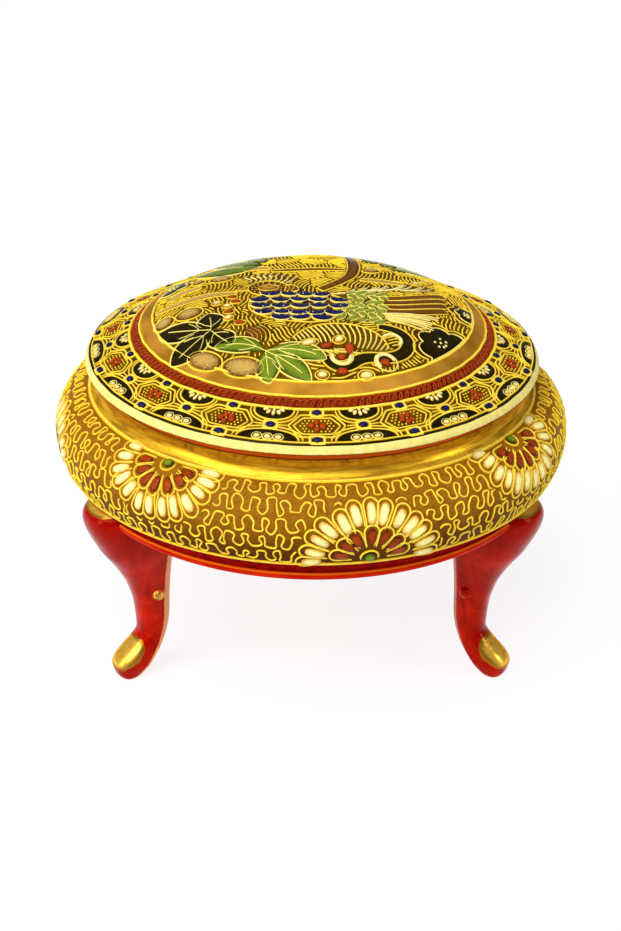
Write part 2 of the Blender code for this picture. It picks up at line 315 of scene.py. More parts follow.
# %% What is already covered
class Covered:
    """A grid over a flat drawing that remembers where something lies."""
    CELL = 0.25

    def __init__(self, low, high):
        self.low = np.array(low, float)
        self.grid = np.zeros(tuple(int((h - l) / self.CELL) + 1 for l, h in zip(low, high)), bool)

    def cells(self, points):
        at = ((points - self.low) / self.CELL).astype(int)
        return np.clip(at, 0, np.array(self.grid.shape) - 1).T

    def inside(self, outline):
        outline = np.asarray(outline, float)
        i0, j0 = np.maximum(self.cells(outline.min(axis=0)[None])[:, 0], 0)
        i1, j1 = self.cells(outline.max(axis=0)[None])[:, 0] + 1
        x = self.low[0] + (np.arange(i0, i1) + 0.5)[:, None] * self.CELL
        y = self.low[1] + (np.arange(j0, j1) + 0.5)[None, :] * self.CELL
        hit = np.zeros((i1 - i0, j1 - j0), bool)
        for (ax, ay), (bx, by) in zip(outline, np.roll(outline, -1, axis=0)):
            if ay != by:
                hit ^= ((ay > y) != (by > y)) & (x < (bx - ax) * (y - ay) / (by - ay) + ax)
        self.grid[i0:i1, j0:j1] |= hit

    def along(self, path, reach, closed=False):
        path = even(path, self.CELL * 1.5, closed)
        span = np.arange(-reach, reach + self.CELL, self.CELL)
        disc = np.array([(x, y) for x in span for y in span if x * x + y * y <= reach * reach])
        self.grid[tuple(self.cells((path[:, None] + disc[None]).reshape(-1, 2)))] = True

    def free(self, points):
        return ~self.grid[tuple(self.cells(points))]


def runs(keep, least=4):
    """Start and end of each unbroken stretch of True."""
    edges = np.flatnonzero(np.diff(np.concatenate(([0], keep.astype(int), [0]))))
    return [(a, b) for a, b in zip(edges[::2], edges[1::2]) if b - a >= least]


print("strokes ready")

# %% [markdown]
# ## Slip and enamel as clay
# Raised slip is a real ridge, about a third of a millimetre high: it catches the light along its
# crest, so it is modelled and not painted. A ridge is a half-round section carried along the flat
# path, with both ends rounded, and every point is laid on the chart afterwards. Enamel is a low
# pool: steep at its rim and nearly flat inside. Each point also keeps how far up the form it is,
# because thin slip shows brown at its foot and thick enamel is deeper in colour.

# %% A heap of small forms that becomes one piece
# each point of a section: how far across, how high, and how far up the form it counts as
SLIP_SECTION = ((-1, -0.5, 0), (-0.72, 0.55, 0.5), (0, 1, 1), (0.72, 0.55, 0.5), (1, -0.5, 0))
POOL_SECTION = ((-1, -0.8, 0), (-0.97, 0.5, 0.1), (-0.8, 0.9, 0.5), (-0.35, 1, 1),
                (0.35, 1, 1), (0.8, 0.9, 0.5), (0.97, 0.5, 0.1), (1, -0.8, 0))
POOL_LEVELS = ((1, -0.8, 0), (0.97, 0.5, 0.1), (0.8, 0.9, 0.5), (0.4, 1, 0.9))
DOT_LEVELS = ((1, -0.5, 0), (0.75, 0.6, 0.5))
END_WIDTH, LEAST_ROUNDING = 0.35, 0.2


def walls(rows, n):
    """Faces between rows of n points, where each row goes all the way round."""
    return [(k * n + i, k * n + (i + 1) % n, (k + 1) * n + (i + 1) % n, (k + 1) * n + i)
            for k in range(rows - 1) for i in range(n)]


class Heap:
    """Gathers ridges and pools of one glaze, and makes one piece of them."""

    def __init__(self, lay):
        self.lay, self.points, self.faces, self.marks, self.count = lay, [], [], [], 0

    def keep(self, points, faces, rise, tone):
        self.points.append(points)
        self.faces += [tuple(i + self.count for i in face) for face in faces]
        self.marks.append(np.column_stack((rise, np.full(len(points), tone))))
        self.count += len(points)

    def ridge(self, path, width, height, closed=False, step=0.62, flat_top=False):
        """A ridge along a flat path: round with rounded ends, or flat-topped with square ends.
        Its width is one number, or one for each point of an even path."""
        section = POOL_SECTION if flat_top else SLIP_SECTION
        if np.ndim(width) == 0:
            path = even(path, step, closed)
        n, m = len(path), len(section)
        if n < 3:
            return
        half = np.broadcast_to(np.asarray(width, float) / 2, (n,)).copy()
        if not (flat_top or closed):
            gone = np.concatenate(([0], np.cumsum(np.hypot(*np.diff(path, axis=0).T))))
            end = np.minimum(gone, gone[-1] - gone)
            rounding = np.sqrt(np.clip(end / np.maximum(half.max(), LEAST_ROUNDING), 0, 1))
            half *= END_WIDTH + (1 - END_WIDTH) * rounding
        side = sideways(path, closed)
        flat = np.concatenate([path + side * (half * across)[:, None] for across, _, _ in section])
        lift = np.repeat([up * height for _, up, _ in section], n)
        rise = np.repeat([mark for _, _, mark in section], n)
        last = n if closed else n - 1
        faces = [(j * n + i, j * n + (i + 1) % n, (j + 1) % m * n + (i + 1) % n, (j + 1) % m * n + i)
                 for j in range(m) for i in range(last)]
        if not closed:
            faces += [tuple(j * n for j in range(m)), tuple(j * n + n - 1 for j in reversed(range(m)))]
        self.keep(self.lay(flat, lift), faces, rise, dice.random())

    def pool(self, outline, height=0.25, levels=POOL_LEVELS, tone=None):
        """A pool with a flat outline, drawn in towards its middle."""
        outline = np.asarray(outline, float)
        n, middle = len(outline), outline.mean(axis=0)
        flat = np.concatenate([middle + (outline - middle) * size for size, _, _ in levels] + [middle[None]])
        lift = np.concatenate((np.repeat([up * height for _, up, _ in levels], n), [height]))
        rise = np.concatenate((np.repeat([mark for _, _, mark in levels], n), [1]))
        faces = walls(len(levels), n)
        top = (len(levels) - 1) * n
        faces += [(top + i, top + (i + 1) % n, len(levels) * n) for i in range(n)]
        faces.append(tuple(reversed(range(n))))
        self.keep(self.lay(flat, lift), faces, rise, dice.random() if tone is None else tone)

    def dot(self, at, size, height=0.3, points=8):
        self.pool(put(oval(size, size, points), at), height, DOT_LEVELS)

    def fire(self, name, material, slot):
        """Make the piece, with its marks on its points, and hang it on the part."""
        rise, tone = np.concatenate(self.marks).T
        mesh = form(name, np.concatenate(self.points), self.faces, {"rise": rise, "tone": tone})
        return show(name, mesh, material)


def form(name, points, faces, marks):
    """A mesh of points in millimetres, with the marks that its glaze reads."""
    mesh = bpy.data.meshes.new(name)
    mesh.from_pydata((np.asarray(points) * MM).tolist(), [], faces)
    for mark, values in marks.items():
        layer = mesh.attributes.new(mark, "FLOAT", "POINT")
        layer.data.foreach_set("value", np.ascontiguousarray(values, dtype=np.float32))
    return mesh


def show(name, mesh, material):
    """Turn the faces outwards, shade them smooth, and let the piece ride on the part."""
    sides = bmesh.new()
    sides.from_mesh(mesh)
    bmesh.ops.recalc_face_normals(sides, faces=sides.faces)
    sides.to_mesh(mesh)
    sides.free()
    mesh.shade_smooth()
    mesh.set_sharp_from_angle(angle=math.radians(50))
    mesh.materials.append(material)
    piece = bpy.data.objects.new(name, mesh)
    bpy.context.scene.collection.objects.link(piece)
    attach(piece, "root")
    print(name, len(mesh.vertices), "points", sum(len(p.vertices) - 2 for p in mesh.polygons), "triangles")
    return piece


print("sections of", len(SLIP_SECTION), "points for a ridge and", len(POOL_SECTION), "for a wide band")

# %% [markdown]
# ## The bowl and the lid themselves
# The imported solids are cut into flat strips, which would show in a glossy glaze. So the same
# outlines are turned again, much finer, and stand in for them: the sizes are the same, and only
# the lip of the lid is rounder. A turned form needs just its outline, spun about the axis.

# %% Turn an outline on the wheel
WHEEL_STEPS = 288


def bow(center, radius, start, end, steps):
    """Points of an arc in the plane of radius and height, angles in degrees."""
    return [(center[0] + radius * math.cos(math.radians(start + (end - start) * i / steps)),
             center[1] + radius * math.sin(math.radians(start + (end - start) * i / steps)))
            for i in range(steps + 1)]


def pull(start, toward, end, steps):
    """Points of a curve that leaves start for toward and reaches end from there."""
    t = np.linspace(0, 1, steps + 1)[:, None]
    curve = (1 - t) ** 2 * np.array(start) + 2 * t * (1 - t) * np.array(toward) + t ** 2 * np.array(end)
    return [tuple(point) for point in curve]


def throw(name, outline, hidden_from, material, slot):
    """Spin an outline that starts and ends on the axis, and mark its hidden part."""
    ring = np.linspace(0, 2 * math.pi, WHEEL_STEPS, endpoint=False)
    rings = outline[1:-1]
    points = [(r * math.sin(a), -r * math.cos(a), z) for r, z in rings for a in ring]
    first, last = len(points), len(points) + 1
    points += [(0, 0, outline[0][1]), (0, 0, outline[-1][1])]
    w = WHEEL_STEPS
    top = (len(rings) - 1) * w
    faces = walls(len(rings), w)
    faces += [(first, (i + 1) % w, i) for i in range(w)]
    faces += [(last, top + i, top + (i + 1) % w) for i in range(w)]
    hidden = [float(k >= hidden_from) for k in range(len(rings)) for _ in ring] + [0.0, 1.0]
    return show(name, form(name, points, faces, {"hidden": hidden}), material)


# %% Outlines of the lid and the bowl
LID_Z, LID_RADIUS, LID_WALL, ROOF_THICKENING = 84.5, 61.6, 4.0, 0.006
FLANGE_RADIUS, FLANGE_INSIDE, FLANGE_FOOT_Z, FLANGE_EDGE = 53.9, 50.9, 79.5, 0.3
SEAT_Z, SEAT_RADIUS, MOUTH_RADIUS, BOWL_WALL, EDGE = 84.2, 59.0, 54.5, 4.2, 0.4
LEG_HEIGHT, FLOOR_Z, FLOOR_RADIUS, BEAD, BEAD_RADIUS = 51.0, 55.4, 56.5, (63.35, 52.2), 1.2
BELLY_LINE, SHOULDER = (67.8, 58.0), (60.5, 77.2)


def lid_heights(start, end, count, lower=0.0, thickening=0.0):
    """Outline points on the lid's surface, or a wall's thickness under it."""
    return [(r, float(lid_surface(np.array(r))[0]) - lower - thickening * r)
            for r in np.linspace(start, end, count)]


def lid_outline():
    """The lid's outline, and how many of its points are in sight."""
    top = lid_heights(0, DOME_RADIUS, 46) + lid_heights(DOME_RADIUS, 59.6, 12)[1:]
    lip = pull((59.9, 87.15), (60.75, 86.9), (61.15, 86.1), 5)
    lip += [(LID_RADIUS - 0.1, 85.4), (LID_RADIUS, 85.0), (LID_RADIUS - 0.15, 84.62)]
    under = [(LID_RADIUS - EDGE, LID_Z), (FLANGE_RADIUS, LID_Z),
             (FLANGE_RADIUS, FLANGE_FOOT_Z + FLANGE_EDGE), (FLANGE_RADIUS - FLANGE_EDGE, FLANGE_FOOT_Z),
             (FLANGE_INSIDE + FLANGE_EDGE, FLANGE_FOOT_Z), (FLANGE_INSIDE, FLANGE_FOOT_Z + FLANGE_EDGE),
             (FLANGE_INSIDE, 86.9)]
    roof = lid_heights(48.4, 0, 22, LID_WALL, ROOF_THICKENING)
    return top + lip + under + roof, len(top + lip)


def bowl_outline():
    """The bowl's outline, and how many of its points are in sight."""
    outside = [(0, LEG_HEIGHT), (30, LEG_HEIGHT), (57, LEG_HEIGHT)] + bow(BEAD, BEAD_RADIUS, -90, 80, 12)
    outside += pull(outside[-1], (BEAD[0], 56.85), BELLY_LINE, 10)[1:]
    r, z, _ = belly_surface(np.linspace(BELLY_DEPTH, 0, 44))
    outside += list(zip(r, z))[1:]
    outside += pull(SHOULDER, (57.4, 78.95), (SEAT_RADIUS, SEAT_Z - EDGE), 16)[1:]
    outside += [(SEAT_RADIUS - EDGE, SEAT_Z), (MOUTH_RADIUS + EDGE, SEAT_Z), (MOUTH_RADIUS, SEAT_Z - EDGE)]
    r, z, tilt = belly_surface(np.linspace(2.5, BELLY_DEPTH, 30))
    inside = [(MOUTH_RADIUS, 79.0)] + list(zip(r - BOWL_WALL * np.cos(tilt), z - BOWL_WALL * np.sin(tilt)))
    bottom = pull((63.2, 57.6), (62.6, FLOOR_Z), (FLOOR_RADIUS, FLOOR_Z), 6) + [(30, FLOOR_Z), (0, FLOOR_Z)]
    return outside + inside + bottom, len(outside) - 2


print("lid outline", len(lid_outline()[0]), "points; bowl outline", len(bowl_outline()[0]))

# %% [markdown]
# ## Ground glazes
# Under the slip, the belly is a tan that darkens to brown towards its foot.
# The neck is gilt, painted brighter low down where it faces up and with painted shade under the lid's
# rim. The bead and the underside are red-orange, with a painted highlight along the top of the bead
# and painted shade in the cove above it, and the inside is plain cream. On the lid, a gold ring and a
# brick-red ring part the picture from the border. All of it is one glaze firing on one form, so it is
# one material, banded by height and radius with a wandering edge.
# Its gloss is kept low and warm, or the white floor would lie over the brown as a grey veil.

# %% The bowl's ground
WARM_GLOSS = {"specular_ior_level": 0.04, "specular_tint": (1.0, 0.66, 0.24, 1.0)}
BEAD_HIGHLIGHT_Z, COVE_Z, BELLY_FOOT_Z, NECK_Z, SEAM_Z = 52.65, 53.1, 57.6, 77.2, 81.75


def bowl_ground():
    glaze = Recipe("bowl_ground")
    mix, step = glaze.mix, glaze.step
    z, r = glaze.height_and_radius()
    cloud, mottle, grain = glaze.noise(9, 3), glaze.noise(1.6, 4), glaze.noise(0.35, 2)
    wander = (cloud - 0.5) * 1.6
    belly = mix(step(z + wander * 3, 58, 73), paint(78, 36, 0), paint(142, 90, 8))
    belly = mix(step(mottle, 0.4, 0.8) * 0.6, belly, paint(100, 58, 2))
    belly = mix(step(grain, 0.45, 0.7) * step(z, 60, 70) * 0.4, belly, paint(188, 138, 54))
    red = mix(step(cloud, 0.3, 0.7), paint(186, 14, 1), paint(214, 40, 3))
    # painted shade: the cove under the belly's foot line is a darker red than the bead
    cove_red_with_painted_shade = mix(step(mottle, 0.3, 0.7), paint(128, 4, 2), paint(172, 8, 4))
    color = mix(step(z + wander * 0.1, COVE_Z, COVE_Z + 0.3), red, cove_red_with_painted_shade)
    # a painted highlight: an orange line along the top of the bead
    uneven = z + wander * 0.12
    bead_painted_highlight = step(uneven, BEAD_HIGHLIGHT_Z, BEAD_HIGHLIGHT_Z + 0.15)
    bead_painted_highlight *= step(uneven, BEAD_HIGHLIGHT_Z + 0.55, BEAD_HIGHLIGHT_Z + 0.4)
    color = mix(bead_painted_highlight * step(r, 63.4, 63.8), color, paint(232, 112, 14))
    color = mix(step(z, BELLY_FOOT_Z, BELLY_FOOT_Z + 0.4), color, belly)
    streak = glaze.noise(1.1, 3, (0.12, 0.12, 1.6))
    # painted light on the gilt neck: brighter low down, where it faces up, and painted shade higher up under
    # the lid's rim, mottled darker there
    gold = mix(step(z + wander * 0.9, 78.0, 80.2), paint(255, 200, 48), paint(196, 134, 20))
    gold = mix(step(streak, 0.42, 0.62) * 0.6, gold, paint(142, 88, 14))
    gold = mix(step(mottle, 0.45, 0.8) * step(z, 79.2, 81.0) * 0.8, gold, paint(96, 56, 8))
    gilt = step(z, NECK_Z, NECK_Z + 0.3)
    color = mix(gilt, color, gold)
    seam = step(z + wander * 0.2, SEAM_Z, SEAM_Z + 0.2)
    rust = mix(step(z + wander * 0.2, SEAM_Z + 0.25, SEAM_Z + 0.75), paint(104, 40, 4), paint(210, 84, 20))
    color = mix(seam, color, rust)
    cream = mix(mottle, paint(232, 218, 180), paint(248, 238, 208))
    hidden = glaze.mark("hidden")
    color = mix(hidden, color, cream)
    metal = gilt * (1 - seam) * (1 - hidden)
    return glaze.finish(base_color=color, metallic=metal * 0.55,
                        roughness=0.28 + mottle * 0.18 - gilt * 0.04,
                        normal=glaze.bump(grain * 0.4 + mottle, 0.05), **WARM_GLOSS)


# %% The lid's ground
GOLD_RING, RED_RING, RED_RING_END, BLUR = 43.2, 46.6, 49.35, 0.15
RIM_RADIUS, RIM_Z, WORN_Z = 60.0, 87.4, 84.8


def lid_ground():
    glaze = Recipe("lid_ground")
    mix, step = glaze.mix, glaze.step
    z, r = glaze.height_and_radius()
    cloud, mottle, grain = glaze.noise(11, 3), glaze.noise(1.5, 4), glaze.noise(0.3, 2)
    rubbed = glaze.noise(16, 2)
    ground = mix(step(cloud, 0.35, 0.65), paint(70, 44, 1), paint(110, 76, 2))
    ground = mix(step(mottle, 0.4, 0.75) * 0.5, ground, paint(52, 30, 1))
    gold = mix(step(rubbed, 0.3, 0.7), paint(146, 100, 20), paint(218, 154, 56))
    red = mix(step(mottle, 0.35, 0.65), paint(84, 20, 2), paint(124, 37, 5))
    edge = r + (mottle - 0.5) * 0.25
    in_gold = step(edge, GOLD_RING, GOLD_RING + BLUR) * step(edge, RED_RING + BLUR, RED_RING)
    in_red = step(edge, RED_RING, RED_RING + BLUR) * step(edge, RED_RING_END + BLUR, RED_RING_END)
    color = mix(in_gold, ground, gold)
    color = mix(in_red, color, red)
    cream = mix(step(mottle, 0.3, 0.8), paint(226, 208, 112), paint(240, 226, 142))
    worn = mix(step(glaze.noise(1.6, 4), 0.4, 0.5), paint(176, 66, 14), paint(112, 52, 8))
    below = step(z + (cloud - 0.5) * 0.5 + (mottle - 0.5) * 0.15, WORN_Z + 0.2, WORN_Z)
    rim = step(r, RIM_RADIUS, RIM_RADIUS + 0.12) * step(z, RIM_Z + 0.2, RIM_Z)
    chips = step(glaze.noise(0.9, 3), 0.66, 0.7) * step(z, 86.4, 85.2) * 0.7
    color = mix(rim, color, mix(chips, mix(below, cream, worn), paint(120, 66, 14)))
    color = mix(glaze.mark("hidden"), color, cream)
    return glaze.finish(base_color=color, metallic=in_gold * 0.3,
                        roughness=0.3 + rubbed * 0.2 + in_gold * 0.06,
                        normal=glaze.bump(grain * 0.4 + mottle, 0.05), **WARM_GLOSS)


lid = throw("lid_form", *lid_outline(), lid_ground(), "lid_glaze")
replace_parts(lid, "lid")
bowl = throw("bowl_form", *bowl_outline(), bowl_ground(), "bowl_glaze")
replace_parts(bowl, "bowl")

# %% [markdown]
# ## The legs
# Each leg is a cabriole: a heavy knee under the bowl, a thin ankle, and a toe that turns out. It is
# drawn as level sections, each round in front and flat behind with bevelled corners, whose outer
# edge and width pass smoothly through a few measured heights. The sections are skinned into one
# closed form. Every point also notes where the gilding and the pale strip lie on it, because on
# the real leg both follow its shape: a crescent on the knee, an oval on the toe. The pale strip is
# the bare bevel, carried past its edges with painted back light.

# %% The leg's measures
LEG_STATIONS = {  # height: (outer radius, half width)
    0.0: (60.4, 2.2), 2.8: (62.85, 4.65), 4.0: (63.2, 5.0), 14.0: (55.4, 4.3), 21.5: (55.96, 4.56),
    28.25: (57.76, 5.24), 35.0: (61.24, 6.48), 41.75: (65.69, 8.15), 51.5: (69.3, 9.5)}
KNEE_Z, KNEE_CROWN, LEG_BACK, TOE_ROUND = 51.5, 4.3, 47.0, 2.8
SOLE_SWEEP, SOLE_Z, SOLE_POWER, BACK_BEVEL = 10.5, 20.0, 2.3, 1.8
LEGS = {"leg_back": (90, 0.0), "leg_left": (210, 0.0), "leg_right": (330, 0.8)}  # angle, glazed edge


def through(column, z):
    """One of the leg's measures at height z, on a smooth curve through its stations."""
    heights, values = list(LEG_STATIONS), [measures[column] for measures in LEG_STATIONS.values()]
    if z >= heights[-1]:
        return values[-1]
    upper = next(i for i, h in enumerate(heights) if h > z)

    def slope(i):
        if i in (0, len(heights) - 1):
            return 0.0
        before = (values[i] - values[i - 1]) / (heights[i] - heights[i - 1])
        after = (values[i + 1] - values[i]) / (heights[i + 1] - heights[i])
        return 2 * before * after / (before + after) if before * after > 0 else 0.0

    low, high = values[upper - 1], values[upper]
    span = heights[upper] - heights[upper - 1]
    t = (z - heights[upper - 1]) / span
    return (low * (2 * t ** 3 - 3 * t ** 2 + 1) + high * (3 * t ** 2 - 2 * t ** 3)
            + slope(upper - 1) * span * (t ** 3 - 2 * t ** 2 + t) + slope(upper) * span * (t ** 3 - t ** 2))


def leg_section(z, around=40):
    """Points round a level section of the leg, each with how much of the pale strip it carries: the bare
    bevel, and painted back light past its edges.
    """
    front, wide = through(0, z), through(1, z)
    if z < TOE_ROUND:
        swell = math.sqrt(1 - (1 - z / TOE_ROUND) ** 2)
        (front, wide), (full, broad) = LEG_STATIONS[0.0], LEG_STATIONS[TOE_ROUND]
        front, wide = front + (full - front) * swell, wide + (broad - wide) * swell
    back = LEG_BACK + (SOLE_SWEEP * (1 - z / SOLE_Z) ** SOLE_POWER if z < SOLE_Z else 0)
    if z > KNEE_Z:
        left = math.sqrt(max(0.0, 1 - ((z - KNEE_Z) / KNEE_CROWN) ** 2))
        front = BEAD[0] + (front - BEAD[0]) * left
        wide *= 1 - 0.25 * (1 - left)
        back = max(back, LEG_BACK + (z - KNEE_Z) * 2.4)
    bevel = min(BACK_BEVEL, wide / 2, (front - back) / 3)
    middle = max(front - wide * 1.15, back + bevel * 1.6)
    # the pale strip: full on the bare bevel, and fading past its edges as painted back light
    ring = [(back, wide - bevel * 1.4, 0.0), (back, wide - bevel, 0.8),
            (back + bevel * 0.5, wide - bevel * 0.5, 1.0), (back + bevel, wide, 0.8),
            (back + bevel * 1.5, wide, 0.0)]
    for i in range(around + 1):
        a = math.pi / 2 - math.pi * i / around
        face = max(math.cos(a), 0.0)
        ring.append((middle + (front - middle) * face ** 0.85,
                     math.copysign(wide * abs(math.sin(a)) ** 0.85, a), 0.0))
    ring += [(x, -y, bare_and_back_light) for x, y, bare_and_back_light in reversed(ring[:5])]
    return ring


# %% Skin the legs
def leg(name, angle, material, glazed_edge):
    """Join level sections into one closed form; glazed_edge hides that much of the pale strip of bare bevel
    and painted back light.
    """
    levels = [0, 0.35, 0.8, 1.3, 1.9, 2.5, 3.2, *np.linspace(4, 14, 18), *np.linspace(15, KNEE_Z, 46)]
    levels += [KNEE_Z + KNEE_CROWN * math.sin(math.radians(a)) for a in (12, 24, 36, 48, 60, 72, 82, 90)]
    c, s = math.cos(math.radians(angle)), math.sin(math.radians(angle))
    points, bare_bevel_and_back_light = [], []
    for z in levels:
        for x, y, bare_and_back_light in leg_section(z):
            points.append((x * c - y * s, x * s + y * c, z))
            bare_bevel_and_back_light.append(bare_and_back_light - glazed_edge)
    n = len(bare_bevel_and_back_light) // len(levels)
    faces = walls(len(levels), n)
    faces += [tuple(range(n)), tuple(reversed(range((len(levels) - 1) * n, len(levels) * n)))]
    spots = np.array(points)
    out, across = spots[:, 0] * c + spots[:, 1] * s, spots[:, 1] * c - spots[:, 0] * s
    knee = ((out - 66.4) / 4.6) ** 2 + (across / 9.4) ** 2 + ((spots[:, 2] - 55.7) / 2.1) ** 2
    toe = abs((out - 59.5) / 6.1) ** 3 + abs(across / 4.9) ** 3 + abs((spots[:, 2] - 7.6) / 4.5) ** 3
    marks = {"bevel": bare_bevel_and_back_light, "gilding": 1.5 - np.minimum(knee, toe)}
    return show(name, form(name, points, faces, marks), material)


def leg_glaze():
    glaze = Recipe("leg_glaze")
    z, _ = glaze.height_and_radius()
    cloud, mottle, grain = glaze.noise(7, 3), glaze.noise(1.4, 4), glaze.noise(0.3, 2)
    red = glaze.mix(glaze.step(cloud, 0.3, 0.72), paint(152, 4, 1), paint(194, 22, 2))
    red = glaze.mix(glaze.step(glaze.noise(1.8, 3, (1.0, 1.0, 0.2)), 0.48, 0.7) * 0.5, red, paint(122, 0, 3))
    red = glaze.mix(glaze.step(mottle, 0.55, 0.85) * 0.35, red, paint(226, 70, 8))
    # painted shade: the red darkens towards the top of the leg, under the bowl
    red = glaze.mix(glaze.step(z + cloud * 8, 40, 52) * 0.6, red, paint(150, 0, 4))
    # the pale strip: bare bevel, with painted back light past its edges
    bare_and_back_light = glaze.mix(mottle, paint(214, 122, 66), paint(240, 176, 116))
    bare_bevel_and_back_light = glaze.step(glaze.mark("bevel") + (mottle - 0.5) * 0.2, 0.02, 0.3)
    color = glaze.mix(bare_bevel_and_back_light, red, bare_and_back_light)
    leaf = glaze.mark("gilding") + (mottle - 0.5) * 0.35 + (cloud - 0.5) * 0.3
    gilded = glaze.step(leaf, 0.45, 0.55)
    gold = glaze.mix(glaze.step(mottle, 0.35, 0.7), paint(252, 206, 84), paint(236, 172, 52))
    gold = glaze.mix(glaze.step(leaf, 1.1, 0.7) * 0.8, gold, paint(120, 74, 6))
    color = glaze.mix(gilded, color, gold)
    return glaze.finish(base_color=color, metallic=gilded * 0.62,
                        roughness=0.14 + mottle * 0.12 + bare_bevel_and_back_light * 0.2 + gilded * 0.08,
                        specular_ior_level=0.18, specular_tint=(1.0, 0.4, 0.12, 1.0),
                        normal=glaze.bump(grain * 0.3 + mottle, 0.05))


leg_material = leg_glaze()
for leg_name, (leg_angle, glazed_edge) in LEGS.items():
    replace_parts(leg(leg_name, leg_angle, leg_material, glazed_edge), "bowl")


# %% [markdown]
# Each ankle has a small round boss on both sides: a ball of clay pressed on, so here it is a sphere
# sunk a little into the leg. Two legs have theirs gilt, and on the third the red glaze covers them.

# %% Small bosses on the ankles
def bosses(name, angles, material):
    spheres = bmesh.new()
    beside = through(1, BOSS_Z) - BOSS_SINK
    for angle in angles:
        c, s = math.cos(math.radians(angle)), math.sin(math.radians(angle))
        for side in (-beside, beside):
            at = Vector((BOSS_REACH * c - side * s, BOSS_REACH * s + side * c, BOSS_Z)) * MM
            bmesh.ops.create_uvsphere(spheres, u_segments=20, v_segments=12, radius=BOSS_RADIUS * MM,
                                      matrix=Matrix.Translation(at))
    mesh = bpy.data.meshes.new(name)
    spheres.to_mesh(mesh)
    spheres.free()
    return show(name, mesh, material)


BOSS_Z, BOSS_REACH, BOSS_RADIUS, BOSS_SINK = 26.2, 51.3, 1.9, 0.4
gilt = Recipe("boss_gilt")
mottle = gilt.noise(0.8, 4)
gilt_color = gilt.mix(gilt.step(mottle, 0.4, 0.7), paint(236, 180, 70), paint(150, 70, 20))
gilt.finish(base_color=gilt_color, metallic=0.8, roughness=0.2 + mottle * 0.2)
bosses("gilt_leg_bosses", (90, 210), gilt.material)
bosses("red_leg_bosses", (330,), leg_material)

# %% [markdown]
# ## Slip and enamel finishes
# Slip is thick and opaque: brown where it thins at its foot, deep yellow on its flanks and pale
# along the crest where the light catches it. Enamels are glassy, so they are smoother, and their
# colour deepens towards the middle of a pool. One recipe serves each kind, fed with its colours.

# %% Mix the slips and the enamels
def slip(name, foot, flank, crest):
    glaze = Recipe(name)
    rise, tone, mottle = glaze.mark("rise"), glaze.mark("tone"), glaze.noise(0.9, 3)
    color = glaze.mix(glaze.step(rise, 0.02, 0.4), foot, flank)
    color = glaze.mix(glaze.step(rise + (mottle - 0.5) * 0.5, 0.5, 1.05), color, crest)
    color = glaze.shade(color, 0.9 + tone * 0.1 + (mottle - 0.5) * 0.2)
    return glaze.finish(base_color=color, roughness=0.3 + mottle * 0.2,
                        normal=glaze.bump(mottle, 0.04), **WARM_GLOSS)


def enamel(name, thin, thick, speck=None):
    glaze = Recipe(name)
    rise, tone, mottle = glaze.mark("rise"), glaze.mark("tone"), glaze.noise(0.8, 4)
    color = glaze.mix(glaze.step(rise + (mottle - 0.5) * 0.6, 0.1, 1.0), thin, thick)
    if speck:
        color = glaze.mix(glaze.step(glaze.noise(0.45, 2), 0.6, 0.68) * 0.6, color, speck)
    color = glaze.shade(color, 0.78 + tone * 0.22 + (mottle - 0.5) * 0.3)
    return glaze.finish(base_color=color, roughness=0.16 + mottle * 0.14, specular_ior_level=0.13,
                        specular_tint=(1.0, 0.75, 0.35, 1.0), normal=glaze.bump(mottle, 0.03))


YELLOW = slip("yellow_slip", paint(126, 72, 2), paint(236, 190, 24), paint(255, 236, 96))
PALE = slip("pale_slip", paint(136, 88, 8), paint(246, 214, 76), paint(255, 246, 150))
CREAM = enamel("cream_enamel", paint(206, 150, 44), paint(255, 248, 164))
PEARL = enamel("pearl_enamel", paint(112, 70, 12), paint(206, 166, 84), paint(236, 206, 132))
RED_BROWN = enamel("red_brown_enamel", paint(92, 28, 2), paint(158, 60, 14), paint(190, 100, 46))
BRIGHT_RED = enamel("bright_red_enamel", paint(120, 34, 6), paint(184, 66, 18), paint(214, 110, 50))
BRICK_RED = enamel("brick_red_enamel", paint(104, 26, 3), paint(166, 60, 15), paint(188, 88, 36))
GREEN = enamel("leaf_green_enamel", paint(52, 66, 6), paint(120, 142, 34), paint(66, 90, 14))
PLUME_GREEN = enamel("plume_green_enamel", paint(86, 96, 6), paint(150, 160, 44), paint(70, 96, 20))
BLUE = enamel("blue_enamel", paint(10, 10, 34), paint(30, 32, 86), paint(70, 56, 96))
BLACK = enamel("black_enamel", paint(22, 16, 0), paint(36, 29, 4), paint(76, 58, 10))
BROWN = enamel("brown_enamel", paint(72, 36, 2), paint(122, 70, 8), paint(70, 38, 4))
OCHRE = enamel("ochre_enamel", paint(160, 96, 20), paint(206, 148, 50))
print(len(bpy.data.materials), "finishes mixed so far")

# %% [markdown]
# ## The belly: vermicelli and half chrysanthemums
# Five rows of looping slip fill the belly, like the paths of small worms, and eight half flowers
# break them: one hangs from the shoulder, the next rises from the foot. Each flower has a bead for
# its eye, seven red-brown petals and a dozen cream ones, all in trailed loops. The flowers go down
# first, and the rows of loops stop short of them, as the potter would have done it.

# %% Half chrysanthemums
FLOWERS, FIRST_FLOWER = 8, -34.6
FLOWER_STRAY = (0, 2.0, 0, -1.5, 1.0, -1.0, 2.0, 0.5)
belly_slip, belly_cream, belly_red, belly_green = (Heap(lay_on_belly) for _ in range(4))
belly_covered = Covered((-GIRTH / 2 - 5, -1), (GIRTH / 2 + 5, BELLY_DEPTH + 1))


def petal_loop(at, heading, length, width):
    """A loop of slip round a petal, open at the end nearest the eye."""
    u = np.linspace(-math.pi / 2, math.pi / 2, 9)
    tip = np.column_stack((length / 2 - width / 2 + np.cos(u) * width / 2, np.sin(u) * width / 2))
    mouth = width / 2 * 0.62
    return put(np.vstack(((-length / 2, -mouth), tip, (-length / 2, mouth))), at, heading)


